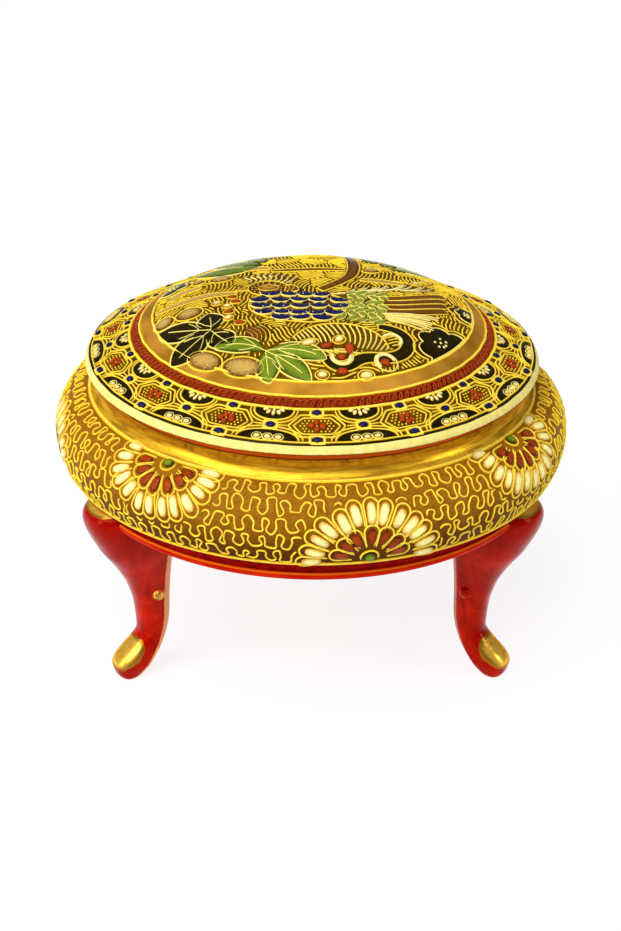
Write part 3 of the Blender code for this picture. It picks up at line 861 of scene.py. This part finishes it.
def chrysanthemum(degrees, hanging):
    eye = np.array((math.radians(degrees) * BELLY_RADIUS, 1.9 if hanging else BELLY_DEPTH - 2.3))
    way = 1 if hanging else -1
    belly_green.pool(oval(3.0, 2.7, 16) + eye, 0.75, tone=0.8)
    arch = np.linspace(-1.9, 1.9, 14)
    belly_slip.ridge(eye + np.column_stack((np.sin(arch) * 2.3, way * np.cos(arch) * 2.2)), 0.65, 0.35)
    for k in range(7):
        angle = math.radians(-78 + 26 * k + dice.uniform(-3, 3))
        out = np.array((math.sin(angle) * 7.4, way * math.cos(angle) * 6.4))
        heading = math.degrees(math.atan2(out[1], out[0]))
        belly_red.pool(put(oval(4.5, 2.5, 14, 0.9), eye + out, heading), 0.42)
        belly_slip.ridge(petal_loop(eye + out, heading, 6.0, 3.9), 0.62, 0.33)
    for k in range(13):
        angle = math.radians(-93 + 15.5 * k + dice.uniform(-2, 2))
        out = np.array((math.sin(angle) * 14.2, way * math.cos(angle) * 12.0)) * dice.uniform(0.96, 1.04)
        if not 0.8 < eye[1] + out[1] < BELLY_DEPTH - 0.8:
            continue
        heading = math.degrees(math.atan2(out[1] * 1.25, out[0])) + dice.uniform(-7, 7)
        long, wide = dice.uniform(5.2, 6.2), dice.uniform(2.3, 2.75)
        belly_cream.pool(put(oval(long, wide, 16, 0.75), eye + out, heading), 0.55, tone=dice.uniform(0.6, 1))
        belly_slip.ridge(petal_loop(eye + out + out * 0.02, heading, 7.4, 4.0), 0.65, 0.33)
        belly_covered.along(petal_loop(eye + out, heading, 7.2, 3.7), 1.0)
    around = np.linspace(0, 2 * math.pi, 40)
    belly_covered.inside(eye + np.column_stack((np.cos(around) * 15.5, np.sin(around) * 13.2)))


for k in range(FLOWERS):
    degrees = (FIRST_FLOWER + FLOWER_STRAY[k] + k * 360 / FLOWERS + 180) % 360 - 180
    chrysanthemum(degrees, k % 2 == 0)
print(FLOWERS, "half flowers")


# %% Rows of looping slip
def vermicelli(row, down):
    """One row of loops round the whole belly, wandering a little and bulging at each turn."""
    loops = round(GIRTH / 4.15)
    phase = np.linspace(0, 2 * math.pi * loops, loops * 26)
    pitch = GIRTH / loops
    knots = np.arange(loops * 2 + 1) * math.pi
    sway, tall, drift = (np.interp(phase, knots, [dice.uniform(low, high) for _ in knots])
                         for low, high in ((-0.95, 0.95), (1.2, 2.45), (-0.35, 0.35)))
    sway = sway + 0.22 * np.sin(3.3 * phase + row)
    across = phase * pitch / (2 * math.pi) - GIRTH / 2 - pitch * 0.125 * np.sin(2 * (phase + row)) + sway
    return np.column_stack((across, down + drift + tall * np.sin(phase + row)))


for row, down in enumerate((3.4, 8.1, 12.7, 17.2, 21.6)):
    path = even(vermicelli(row, down), 0.55)
    path[:, 1] = np.clip(path[:, 1], 0.9, BELLY_DEPTH - 0.8)
    for first, last in runs(belly_covered.free(path), 6):
        width = 0.6 + 0.07 * np.sin(np.arange(first, last) * 0.45 + row)
        belly_slip.ridge(path[first:last], width, 0.32)

for down, width in ((0.15, 1.35), (BELLY_DEPTH - 0.1, 1.1)):
    round_path = np.column_stack((np.linspace(-GIRTH / 2, GIRTH / 2 + width, 700), np.full(700, down)))
    belly_slip.ridge(round_path, width, 0.4)

for name, heap, color in (
        ("belly_slip_lines", belly_slip, YELLOW), ("belly_cream_petals", belly_cream, CREAM),
        ("belly_red_petals", belly_red, RED_BROWN), ("belly_flower_eyes", belly_green, GREEN)):
    heap.fire(name, color, "bowl_glaze")

# %% [markdown]
# ## The lid's border: hexagons and half-round medallions
# The border is a traditional diaper of long hexagons. It is drawn once, as one repeat in the frame
# of its own middle line: along is the way round, out is away from the lid's middle. Fifteen repeats
# close the ring. Each hexagon has two outlines, rows of tiny dots and a red flower; black half
# medallions with cream petals or loops sit between, and small blue studs mark the joins.

# %% One repeat of the border
REPEATS, BORDER_MIDDLE, FIRST_HEXAGON = 15, 54.7, 1.5
lid_slip, lid_pale, lid_cream, lid_black, lid_blue, lid_red = (Heap(lay_on_lid) for _ in range(6))


def on_border(flat, degrees):
    """Bend a drawing of one repeat round the border."""
    flat = np.atleast_2d(np.asarray(flat, float))
    turn = math.radians(degrees) + flat[:, 0] / BORDER_MIDDLE
    r = BORDER_MIDDLE + flat[:, 1]
    return np.column_stack((r * np.sin(turn), -r * np.cos(turn)))


def hexagon(long, high, slant):
    return np.array(((-long, 0), (-slant, high), (slant, high), (long, 0), (slant, -high), (-slant, -high)))


def hexagon_repeat(degrees):
    for long, high, slant, width in ((7.1, 3.35, 4.3, 0.6), (5.8, 2.45, 3.6, 0.5)):
        outline = even(hexagon(long, high, slant), 0.5, True)
        lid_slip.ridge(on_border(outline, degrees), width, 0.26, closed=True)
    for i in range(-5, 6):
        for j in (-1.6, -0.8, 0, 0.8, 1.6):
            x = i + (0.5 if round(j / 0.8) % 2 else 0)
            if abs(x) < 5.0 - abs(j) and math.hypot(x / 1.6, j) > 1.3:
                lid_slip.dot(on_border((x + dice.uniform(-0.1, 0.1), j), degrees)[0], 0.6, 0.28, 6)
    for k in range(5):
        a = 2 * math.pi * k / 5 + dice.random()
        petal = put(oval(1.9, 1.5, 10), (math.cos(a) * 1.5, math.sin(a) * 1.05), math.degrees(a))
        lid_red.pool(on_border(petal, degrees), 0.4)
    lid_slip.dot(on_border((0, 0), degrees)[0], 0.5, 0.4, 6)
    for out in (-4.05, 4.25):
        stud(degrees, out)


def stud(degrees, out):
    """A blue stud in a small square of slip."""
    square = np.array(((-1.65, -1.1), (1.65, -1.1), (1.65, 1.1), (-1.65, 1.1))) + (0, out)
    lid_slip.ridge(on_border(even(square, 0.4, True), degrees), 0.85, 0.3, closed=True)
    lid_blue.pool(on_border(oval(2.5, 1.75, 14) + (0, out), degrees), 0.6)


def medallion(degrees, outer):
    """A black half round whose flat side lies on the ring or on the rim."""
    base, way, long, deep = (4.75, -1, 7.3, 3.2) if outer else (-4.9, 1, 5.5, 3.5)
    a = np.linspace(0, math.pi, 17)
    shape = np.column_stack((np.cos(a) * long, base + way * np.sin(a) ** 0.8 * deep))
    lid_black.pool(on_border(shape * (0.94, 1), degrees), 0.22)
    lid_slip.ridge(on_border(shape, degrees), 0.6, 0.3)
    grown = np.column_stack((np.cos(a) * (long + 0.95), base + way * np.sin(a) ** 0.8 * (deep + 0.95)))
    lid_slip.ridge(on_border(grown, degrees), 0.5, 0.26)
    if outer:
        for x in (-2.5, 0, 2.5):
            loop = on_border(oval(2.5, 1.9, 14) + (x, base + way * 0.95), degrees)
            lid_pale.ridge(loop, 0.4, 0.3, closed=True)
            lid_cream.pool(on_border(oval(1.7, 1.3, 12) + (x, base + way * 0.9), degrees), 0.4)
        return
    for k in range(5):
        a = math.pi * (k + 0.5) / 5
        at = (math.cos(a) * 2.3, base + way * math.sin(a) * 1.5)
        lid_cream.pool(on_border(put(oval(1.8, 1.1, 10), at, math.degrees(a) * way), degrees), 0.42)
    lid_cream.dot(on_border((0, base + way * 0.45), degrees)[0], 1.0, 0.4)


# %% Fifteen repeats and the lines between
HALF_REPEAT = math.radians(180 / REPEATS) * BORDER_MIDDLE
for k in range(REPEATS):
    here = FIRST_HEXAGON + k * 360 / REPEATS
    between = here - 180 / REPEATS
    hexagon_repeat(here)
    medallion(between, True)
    medallion(between, False)
    stud(between, 0.15)
    for side in (-1, 1):
        tie = on_border(((side * 7.3, 0.05), (side * (HALF_REPEAT - 1.1), 0.1)), here)
        lid_slip.ridge(tie, 0.42, 0.25, step=0.4)


def ring_line(heap, radius, width, height=0.3):
    """A ring trailed by a hand that is not quite steady."""
    a = np.linspace(0, 2 * math.pi, 620, endpoint=False)
    r = radius + 0.06 * np.sin(a * 37 + 1) * np.sin(a * 11)
    heap.ridge(np.column_stack((np.sin(a) * r, -np.cos(a) * r)), width, height, closed=True)


for radius, width in ((43.15, 0.8), (46.7, 0.75), (49.55, 0.95), (59.7, 0.5)):
    ring_line(lid_slip, radius, width)
ring_line(lid_black, 60.25, 0.75, 0.14)


# %% [markdown]
# Between the picture and the border runs a brick-red ring, scribbled over in the same red. It is one
# long line that loops in and out, so two waves draw it: one moves it across and one along.

# %% The scribbled brick-red ring
def scribble(heap, radius, reach, pitch, width):
    """A line that loops in and out all the way round a ring."""
    loops = round(2 * math.pi * radius / pitch)
    t = np.linspace(0, 2 * math.pi, loops * 14, endpoint=False)
    r = radius + reach * np.sin(loops * t) * (1 + 0.2 * np.sin(t * 29))
    a = t + 0.55 * pitch / radius * np.cos(loops * t + 0.6)
    heap.ridge(np.column_stack((np.sin(a) * r, -np.cos(a) * r)), width, 0.22, closed=True, step=0.5)


lid_scribble = Heap(lay_on_lid)
scribble(lid_scribble, 48.1, 0.82, 1.75, 0.5)
print(REPEATS, "repeats of the border")

# %% [markdown]
# ## The picture: a bird among leaves
# The middle of the lid is a generic picture in the old manner: a crested bird with blue scaled
# plumage and a long striped tail on a branch, with leaves, buds and plum blossom round it. Each
# form is a flat drawing: an enamel pool, and a line of slip round it. What is placed is marked as
# covered, and rows of short slip strokes fill the rest, changing direction from patch to patch.

# %% Leaves, buds and bands
picture = Covered((-44, -44), (44, 44))
lid_green, lid_plume, lid_brown, lid_ochre, lid_pearl = (Heap(lay_on_lid) for _ in range(5))


def claim(outline, margin=0.42):
    picture.inside(outline)
    picture.along(outline, margin, True)


def band_sides(path, half):
    side = sideways(path)
    return np.vstack((path + side * half[:, None], (path - side * half[:, None])[::-1]))


def band(heap, points, width, tip, line=0.55):
    """A long form that follows a curve, widest in its middle, with a line of slip round it."""
    path = even(smooth(points), 0.7)
    t = np.linspace(0, 1, len(path))
    half = width / 2 * (tip + (1 - tip) * np.sin(math.pi * t) ** 0.7)
    heap.ridge(path, half * 2 - line, 0.24, flat_top=True)
    outline = band_sides(path, half)
    lid_slip.ridge(outline, line, 0.28, closed=True)
    claim(outline)


def lobe(heap, base, tip, width, bend, veined=True):
    """One round lobe of a leaf: a pool that starts thin at the node, with a rib and curved veins."""
    base, tip = np.array(base, float), np.array(tip, float)
    along = tip - base
    cross = np.array((-along[1], along[0])) * bend
    path = even(smooth((base, base + along * 0.3 + cross, base + along * 0.7 + cross, tip)), 0.5)
    t = np.linspace(0, 1, len(path))
    half = width / 2 * np.maximum(np.sin(math.pi * t ** 1.15) ** 0.7, 0.05)
    heap.ridge(path, np.maximum(half * 2 - 0.45, 0.15), 0.28, flat_top=True)
    outline = band_sides(path, half)
    free = int(len(path) * 0.24)
    lid_pale.ridge(outline[free:-free], 0.52, 0.32)
    if veined:
        lid_pale.ridge(path[: int(len(path) * 0.82)], 0.5, 0.42)
        side, i, j = sideways(path), int(len(path) * 0.2), int(len(path) * 0.5)
        for way in (-1, 1):
            end = path[j] + side[j] * way * half[j] * 0.72
            elbow = (path[i] + end) / 2 + side[i] * way * 0.5
            lid_pale.ridge(smooth((path[i], elbow, end), rounds=3), 0.42, 0.4, step=0.45)
    claim(outline)


def bud(heap, at, length, width, heading=0.0, line=0.6, height=0.6):
    """A round pearly bud in a ring of slip."""
    heap.pool(put(oval(length, width, 22), at, heading), height)
    ring = put(oval(length + 1.0, width + 1.0, 26), at, heading)
    lid_slip.ridge(ring, line, 0.3, closed=True)
    claim(ring)


def cell(heap, outline, height, line, line_height):
    """A pool of enamel inside its own line of slip."""
    heap.pool(outline, height)
    lid_slip.ridge(outline, line, line_height, closed=True)
    claim(outline)


print("a drawing board of", picture.grid.size, "cells")

# %% [markdown]
# The bird's plumage is rows of scales, each a few drops of blue in a loop of pale slip. Its head, neck
# and beak are pools inside their own lines, and its crest and tail are long strokes that spread.

# %% The bird
BODY = smooth(((-17.2, -8), (-16, -3.8), (-12, -1.4), (-5, 0), (2, -0.6), (8, -4), (10.8, -8), (8.5, -13),
               (5, -18.2), (0, -20.2), (-6, -19.4), (-12, -17.2), (-16.4, -13)), closed=True)


def inside(outline, at):
    x, y = at
    hits = 0
    for (ax, ay), (bx, by) in zip(outline, np.roll(outline, -1, axis=0)):
        hits += (ay > y) != (by > y) and x < (bx - ax) * (y - ay) / (by - ay) + ax
    return hits % 2 == 1


def bird_body():
    """Shingled scales: each is a few thick drops of blue in a loop of pale slip."""
    lid_slip.ridge(BODY, 0.6, 0.3, closed=True)
    claim(BODY, 0.7)
    for row, y in enumerate((-2.2, -6.0, -9.9, -13.8, -17.4)):
        across = [x for x in np.arange(-18, 12, 0.25) if inside(BODY, (x, y))]
        count = round((across[-1] - across[0]) / 5.0)
        for k in range(count):
            x = across[0] + (across[-1] - across[0]) * (k + 0.5) / count
            at = np.array((x, y)) + stray(0.4, 0.35)
            lean, size = dice.uniform(-14, 8), dice.uniform(0.9, 1.06)
            for side in (-1.6, 0.05, 1.6):
                drop = oval(dice.uniform(2.0, 2.6), dice.uniform(3.4, 4.6) - abs(side) * 0.5, 14) * size
                lid_blue.pool(put(drop, put(((side, dice.uniform(-0.2, 0.5)),), at, lean)[0], lean), 0.42,
                              tone=dice.uniform(0, 1))
            a = np.linspace(math.pi * 0.93, math.pi * 2.07, 13)
            loop = np.column_stack((np.cos(a) * 2.7, np.sin(a) * 2.4 + 0.5)) * size
            lid_pale.ridge(put(loop, at, lean), 0.5, 0.5)
            if dice.random() < 0.4:
                lid_cream.dot(at + (dice.uniform(-1.2, 1.2), dice.uniform(-1.6, 0.4)), 0.6, 0.6)


def bird_head():
    eye = np.array((-12.0, 2.2))
    cell(lid_brown, put(oval(11.2, 10.6, 28), eye), 0.26, 0.55, 0.32)
    lid_ochre.pool(put(oval(4.6, 3.0, 16), eye, 15), 0.7)
    lid_slip.ridge(put(oval(5.6, 4.0, 20), eye, 15), 0.45, 0.42, closed=True)
    lid_black.dot(eye + (0.2, 0.1), 1.3, 0.95)
    for ring, count in ((3.5, 13), (4.5, 17)):
        for k in range(count):
            a = 2 * math.pi * k / count + ring
            lid_slip.dot(eye + (math.cos(a) * ring, math.sin(a) * ring * 0.94), 0.6, 0.45, 6)
    neck = ((-7.6, 5.2), (-4.6, 4.6), (-3.6, 1.4), (-5.2, -0.2), (-8, -0.6), (-7.2, 2))
    cell(lid_brown, smooth(neck, closed=True, rounds=3), 0.26, 0.5, 0.3)
    for k in range(5):
        lid_slip.dot((-6.4 + 0.7 * (k % 2) + 0.5 * (k % 3), 4.0 - k * 0.95), 0.6, 0.45, 6)
    beak = np.array(((-17.4, 3.4), (-20.6, 1.6), (-21.2, 0.4), (-19.4, 0.5), (-17.6, 0.8)))
    cell(lid_ochre, beak, 0.4, 0.45, 0.32)
    for k in range(9):
        start = eye + (-5.0 + k * 1.2, 4.2 + 1.2 * math.sin(k * 0.42))
        lean = -1.6 + k * 0.55
        steps = ((0, 0), (lean * 0.3 + 0.9, 2.2), (lean - 0.7, 4.0), (lean + 0.5, 6.6 - abs(k - 4) * 0.4))
        flame = smooth(start + np.array(steps), rounds=3)
        (lid_pale if k % 2 else lid_cream).ridge(even(flame, 0.5), 0.62, 0.36)
        picture.along(flame, 0.6)


def quill(heap, base, head, elbow, width):
    """A long thin feather with a slight bow."""
    path = smooth((base, (base + head) / 2 + elbow, head), rounds=3)
    heap.ridge(even(path, 0.5), width, 0.34)
    picture.along(path, 0.6)


def bird_tail():
    """Broad brown stripes that spread, between two sprays of cream quills."""
    for k in range(4):
        stripe = ((18.4, -3.6 - 2.75 * k), (23.5, -2.6 - 2.9 * k),
                  (29.5, 0.6 - 3.1 * k), (35.4, 5.2 - 3.35 * k))
        band(lid_brown, stripe, 3.15, 0.85, line=0.4)
    for k in range(15):
        base = np.array((4.5 + 1.55 * k, -1.2 + 0.36 * k)) + stray(0.4, 0.5)
        quill(lid_cream, base, base + (5.6 + dice.uniform(-0.8, 1.2), 3.6 + 0.2 * k), (0.9, -0.9), 0.66)
    for k in range(8):
        base = np.array((16.5 + 0.5 * k, -13.6 - 0.5 * k))
        head = base + (dice.uniform(14.5, 17.5) - 0.9 * k, 3.0 - 0.7 * k)
        quill(lid_pale if k % 2 else lid_cream, base, head, (0.3, dice.uniform(0.4, 1.1)), 0.55)


def green_plumes():
    """Short overlapping feathers: a green drop with a pale line down its side."""
    for row in range(5):
        for k in range(7):
            at = np.array((7.4 + 2.6 * row + 0.6 * (k % 2), 0.0 - 2.8 * k - 0.3 * row)) + stray(0.5, 0.5)
            if at[1] < -19.4 or (row == 0 and k < 3):
                continue
            turn = dice.uniform(-75, -35) if k % 2 else dice.uniform(30, 70)
            lid_plume.pool(put(oval(dice.uniform(3.4, 4.6), 2.2, 14), at, turn), 0.36, tone=dice.random())
            for way in (-1.2, 1.2):
                line = smooth(put(((-1.8, way * 0.5), (0, way), (1.8, way * 0.4)), at, turn), rounds=3)
                lid_pale.ridge(line, 0.36, 0.4, step=0.4)
    breast = ((7, 1.2), (14, 1.6), (19.3, -2), (19.3, -12), (14, -19.2), (7.5, -19.6), (9.5, -11), (6.5, -4))
    claim(smooth(breast, closed=True), 0.2)


bird_body()
bird_head()
green_plumes()
bird_tail()
print("bird drawn:", round(100 * picture.grid.mean()), "% of the board is covered")

# %% [markdown]
# Branches and pods are bands that follow a curve. A leaf is a few lobes that leave one node, each
# with a rib and veins. Buds are pearly pools, and each lies in a ring of slip.

# %% Branch, pods, buds and leaves
LEAF_NODE, BLACK_NODE = (-11.8, -33.0), (-26.3, -21.2)
band(lid_brown, ((1.8, 1.6), (6.5, 6.8), (10.2, 12), (11.2, 18), (11.2, 25), (10.2, 33), (8.8, 41.4)),
     3.4, 0.8)
band(lid_brown, ((8.6, 17.3), (2, 17.4), (-5, 16.4), (-11.5, 15.6)), 2.4, 0.7)
band(lid_pearl, ((12.8, 9.6), (18, 9.4), (24.5, 8.2)), 2.6, 0.6)
band(lid_pearl, ((-11.8, 17.6), (-15, 18.8), (-19.6, 17.2)), 3.2, 0.55)
band(lid_pearl, ((-42, -3.0), (-36, -2.4), (-28, -0.6), (-20.4, -1.0)), 3.1, 0.55)
band(lid_pearl, ((-38.4, 1.6), (-37.0, 5.4), (-30.4, 6.6)), 3.2, 0.6)
for at, long, wide, turn in (((-25.3, 11.0), 5.6, 4.2, 10), ((-32.6, -10.0), 6.4, 5.8, 0),
                             ((-39.2, -11.0), 4.6, 5.4, 0), ((16, 17.6), 4.4, 3.0, 20),
                             ((-31.5, 11.2), 3.4, 2.6, 40)):
    bud(lid_pearl, at, long, wide, turn)
for at, long, wide, turn in (((-27.2, -32.4), 9.6, 4.6, -36), ((-17.4, -37.2), 10.0, 5.2, -20)):
    bud(lid_pearl, at, long, wide, turn, height=0.5)
for at in ((-25.4, -6.8), (-22.0, -16.2), (-22.6, -9.2), (28, 10.6), (31, 14.8)):
    bud(lid_cream, at, 2.1, 1.7, dice.uniform(0, 90), 0.4)
for tip, wide, bend in (((-40.2, -15.2), 8.2, 0.03), ((-36.0, -30.0), 9.0, 0.03),
                        ((-20.2, -29.0), 7.4, -0.04), ((-27.4, -12.6), 7.4, -0.04)):
    lobe(lid_black, BLACK_NODE, tip, wide, bend)
for tip, wide, bend in (((-25.0, -29.0), 6.2, -0.12), ((3.6, -36.4), 6.4, 0.1), ((-0.2, -43.0), 6.0, 0.02),
                        ((-10.6, -43.0), 6.2, 0.0)):
    lobe(lid_green, LEAF_NODE, tip, wide, bend)
for base, tip, wide in (((-15, 20.5), (-33, 19), 9.5), ((-15, 22.5), (-28, 31.5), 10.0),
                        ((-14, 25), (-17.5, 40), 9.0), ((22, 22), (34, 24), 8.0),
                        ((20, 25), (27, 34), 8.5), ((17, 27), (16, 40.5), 8.0)):
    lobe(lid_green, base, tip, wide, 0.08, veined=False)

print("leaves drawn:", round(100 * picture.grid.mean()), "% of the board is covered")

# %% [markdown]
# A black band winds between beads and a fan of ribs. The plum blossoms are scalloped pools that slip
# under the gold ring, so an outline is pulled in wherever it would cross that ring.

# %% The dark winding band and the plum blossom
band(lid_black, ((17.0, -20.6), (22.2, -21.4), (25.0, -25.4), (23.6, -30.6), (19.0, -33.6),
                 (12.6, -34.4), (9.2, -38.2), (5.4, -38.4), (3.4, -35.4)), 3.5, 0.85)
for at, turn, ringed in (((20.4, -26.2), 60, False), ((7.4, -35.2), -90, True), ((18.6, -34.8), 130, True)):
    moon = np.linspace(-1.9, 1.9, 14)
    crescent = put(np.column_stack((np.cos(moon) * 2.4, np.sin(moon) * 2.3)), at, turn)
    lid_cream.ridge(crescent, 1.3, 0.6)
    if ringed:
        lid_pale.ridge(put(oval(5.9, 5.6, 26), at), 0.45, 0.4, closed=True)
for at, long, wide, turn in (((-0.9, -30.2), 4.4, 2.3, 25), ((6.8, -28.4), 3.0, 2.2, 60),
                             ((13.6, -40.0), 3.4, 2.0, 20), ((2.6, -41.2), 2.6, 1.7, 0)):
    bud(lid_cream, at, long, wide, turn, 0.45)
for at, long, wide, turn in (((3.6, -31.4), 3.6, 2.2, 20), ((9.4, -32.0), 2.6, 4.4, 0),
                             ((18.4, -35.0), 2.6, 2.2, 0), ((7.6, -39.8), 3.2, 2.0, 10),
                             ((7.4, -35.4), 2.2, 1.8, 0)):
    berry = put(oval(long, wide, 16), at, turn)
    lid_red.pool(berry, 0.6)
    claim(berry)
lid_pale.ridge(((0.0, -33.2), (6.0, -33.4), (12.6, -33.4)), 0.5, 0.5)
shell = np.linspace(0, math.pi, 24)
shell = np.column_stack((np.cos(shell) * 12.6, np.sin(shell) * 11.0)) + (7.0, -31.4)
lid_slip.ridge(shell[picture.free(shell)], 0.6, 0.32)
for k in range(-11, 16):
    up = np.linspace(0, 12, 36)
    rib = np.column_stack((7.0 + k * 1.12 + 0.05 * (k - 4) * up + 0.8 * np.sin(up * 0.35), -31.4 + up))
    keep = picture.free(rib) & [inside(shell, at) for at in rib]
    for first, last in runs(keep, 5):
        lid_pale.ridge(rib[first:last], 0.5, 0.3)
claim(shell)
for at in ((-20.4, -6.6), (-18.8, -19.2), (-22.0, -12.6), (-21.6, -3.4)):
    lid_red.pool(put(oval(2.7, 1.9, 12), at, dice.uniform(0, 180)), 0.5)
    lid_slip.ridge(put(oval(3.2, 2.5, 16), at), 0.4, 0.3, closed=True)
    claim(put(oval(3.2, 2.5, 16), at))


PICTURE_EDGE = 42.8


def scallop(middle, size, lobes):
    """A round-lobed outline, cut off where it would cross the gold ring."""
    a = np.linspace(0, 2 * math.pi, 144, endpoint=False)
    out = size * (0.8 + 0.2 * np.abs(np.sin(lobes * a / 2)) ** 0.7)
    points = np.column_stack((np.cos(a) * out, np.sin(a) * out)) + middle
    return even(points * np.minimum(1, PICTURE_EDGE / np.hypot(*points.T))[:, None], 0.6, closed=True)


def blossom(angle, size, lobes):
    """A black plum blossom that slips under the ring, with a brown edge and a cluster of cream dots."""
    turn = math.radians(angle)
    middle = np.array((math.cos(turn), math.sin(turn))) * PICTURE_EDGE
    edge, heart = scallop(middle, size + 1.7, lobes), scallop(middle, size, lobes)
    lid_brown.pool(edge, 0.16, tone=0.2)
    lid_black.pool(heart, 0.3)
    lid_slip.ridge(edge, 0.5, 0.3, closed=True)
    lid_pale.ridge(heart, 0.45, 0.4, closed=True)
    claim(edge, 0.5)
    for share, count in ((0.2, 2), (0.34, 3), (0.48, 2)):
        for k in range(count):
            a = turn + math.pi + (k - (count - 1) / 2) * 0.62
            lid_cream.dot(middle + (math.cos(a) * size * share, math.sin(a) * size * share), 1.0, 0.6)


blossom(-34, 8.6, 8)
blossom(-3, 4.8, 7)
blossom(161, 6.4, 7)
blossom(88, 7.0, 8)
patch = ((-19, -20.6), (-12, -21), (-10.4, -25), (-12.4, -29.6), (-17, -27.6))
lid_brown.pool(smooth(patch, closed=True, rounds=3), 0.2)

# %% [markdown]
# ## Filling strokes
# Nothing is left bare: short parallel strokes and nested arcs fill every gap, a little over one
# millimetre apart. The gaps are split into patches round scattered seeds, each patch takes its own
# direction, and every stroke is cut where something is covered already.

# %% Fill the gaps
STROKE_PITCH, STROKE_WIDTH = 1.1, 0.5


def fill_gaps(heap, covered, radius):
    seeds = []
    for row in range(-7, 8):
        for k in range(-7, 8):
            at = np.array((k * 7.2 + (3.6 if row % 2 else 0), row * 6.4)) + stray(1.8, 1.8)
            if np.hypot(*at) < radius + 3:
                seeds.append(at)
    seeds = np.array(seeds)
    for number, seed in enumerate(seeds):
        turn = math.radians(dice.choice((90, 75, 60, 120, 20, -20, 100)))
        c, s = math.cos(turn), math.sin(turn)
        ahead, across = np.array((c, s)), np.array((-s, c))
        t = np.arange(-8, 8.01, 0.35)
        for k in range(-7, 8):
            if number % 3 == 0:
                reach = 1.0 + (k + 7) * STROKE_PITCH
                arc = np.linspace(-1.25, 1.25, max(8, int(reach * 7)))
                bend = np.outer(np.cos(arc), ahead) + np.outer(np.sin(arc), across)
                path = seed - ahead * 6 + reach * bend
            else:
                path = (seed + across * k * STROKE_PITCH + np.outer(t, ahead)
                        + np.outer(0.35 * np.sin(t * 0.8 + number), across))
            near = np.argmin(((path[:, None] - seeds[None]) ** 2).sum(axis=2), axis=1) == number
            keep = near & covered.free(path) & (np.hypot(*path.T) < radius)
            for first, last in runs(keep, 3):
                heap.ridge(path[first:last], STROKE_WIDTH, 0.22, step=0.5)
    return len(seeds)


fill = Heap(lay_on_lid)
print(fill_gaps(fill, picture, 42.5), "patches of strokes")

for name, heap, color in (
        ("lid_filling_strokes", fill, YELLOW), ("lid_slip_lines", lid_slip, YELLOW),
        ("lid_pale_lines", lid_pale, PALE), ("lid_cream_enamel", lid_cream, CREAM),
        ("lid_black_enamel", lid_black, BLACK), ("lid_blue_enamel", lid_blue, BLUE),
        ("lid_red_enamel", lid_red, BRIGHT_RED), ("lid_red_scribble", lid_scribble, BRICK_RED),
        ("lid_green_enamel", lid_green, GREEN), ("lid_plume_enamel", lid_plume, PLUME_GREEN),
        ("lid_brown_enamel", lid_brown, BROWN), ("lid_ochre_enamel", lid_ochre, OCHRE),
        ("lid_pearl_enamel", lid_pearl, PEARL)):
    heap.fire(name, color, "lid_glaze")

# %% [markdown]
# ## Floor and light
# A white sweep and soft boxes, as for a catalogue picture. The floor is bright because glaze and
# gilding show mostly what stands around them: white from below, a dim room above, and two long
# windows of light that draw the highlights.

# %% Lay the floor and hang the lights
def studio():
    floor_mesh = bpy.data.meshes.new("floor")
    floor_mesh.from_pydata([(-4, -4, 0), (4, -4, 0), (4, 4, 0), (-4, 4, 0)], [], [(0, 1, 2, 3)])
    floor = bpy.data.objects.new("floor", floor_mesh)
    bpy.context.scene.collection.objects.link(floor)
    board = Recipe("white_board")
    shade = board.mix(board.noise(60, 2), paint(104, 104, 103), paint(110, 110, 109))
    floor_mesh.materials.append(board.finish(base_color=shade, roughness=0.9, specular_ior_level=0.1,
                                             emission_color=(1.0, 1.0, 1.0, 1.0), emission_strength=0.87))
    sun = bpy.data.lights.new("daylight", "SUN")
    sun.energy, sun.angle = 3.3, math.radians(50)
    lamps = [(sun, (-0.35, -0.5, 1.0))]
    for name, at, wide, high, power in (("window_left", (-0.9, -0.45, 0.42), 0.25, 0.5, 3.2),
                                        ("window_right", (0.95, -0.35, 0.4), 0.2, 0.45, 2.4)):
        lamp = bpy.data.lights.new(name, "AREA")
        lamp.shape, lamp.size, lamp.size_y, lamp.energy = "RECTANGLE", wide, high, power
        lamps.append((lamp, at))
    for lamp, at in lamps:
        box = bpy.data.objects.new(lamp.name, lamp)
        box.location = at
        box.rotation_euler = (Vector(at) - Vector((0, 0, 0.06))).to_track_quat("Z", "Y").to_euler()
        bpy.context.scene.collection.objects.link(box)
    world = bpy.data.worlds.new("room")
    world.use_nodes = True
    world.node_tree.nodes["Background"].inputs[0].default_value = (0.8, 0.8, 0.8, 1)
    world.node_tree.nodes["Background"].inputs[1].default_value = 0.15
    bpy.context.scene.world = world
    bpy.context.scene.view_settings.view_transform = "Standard"


studio()
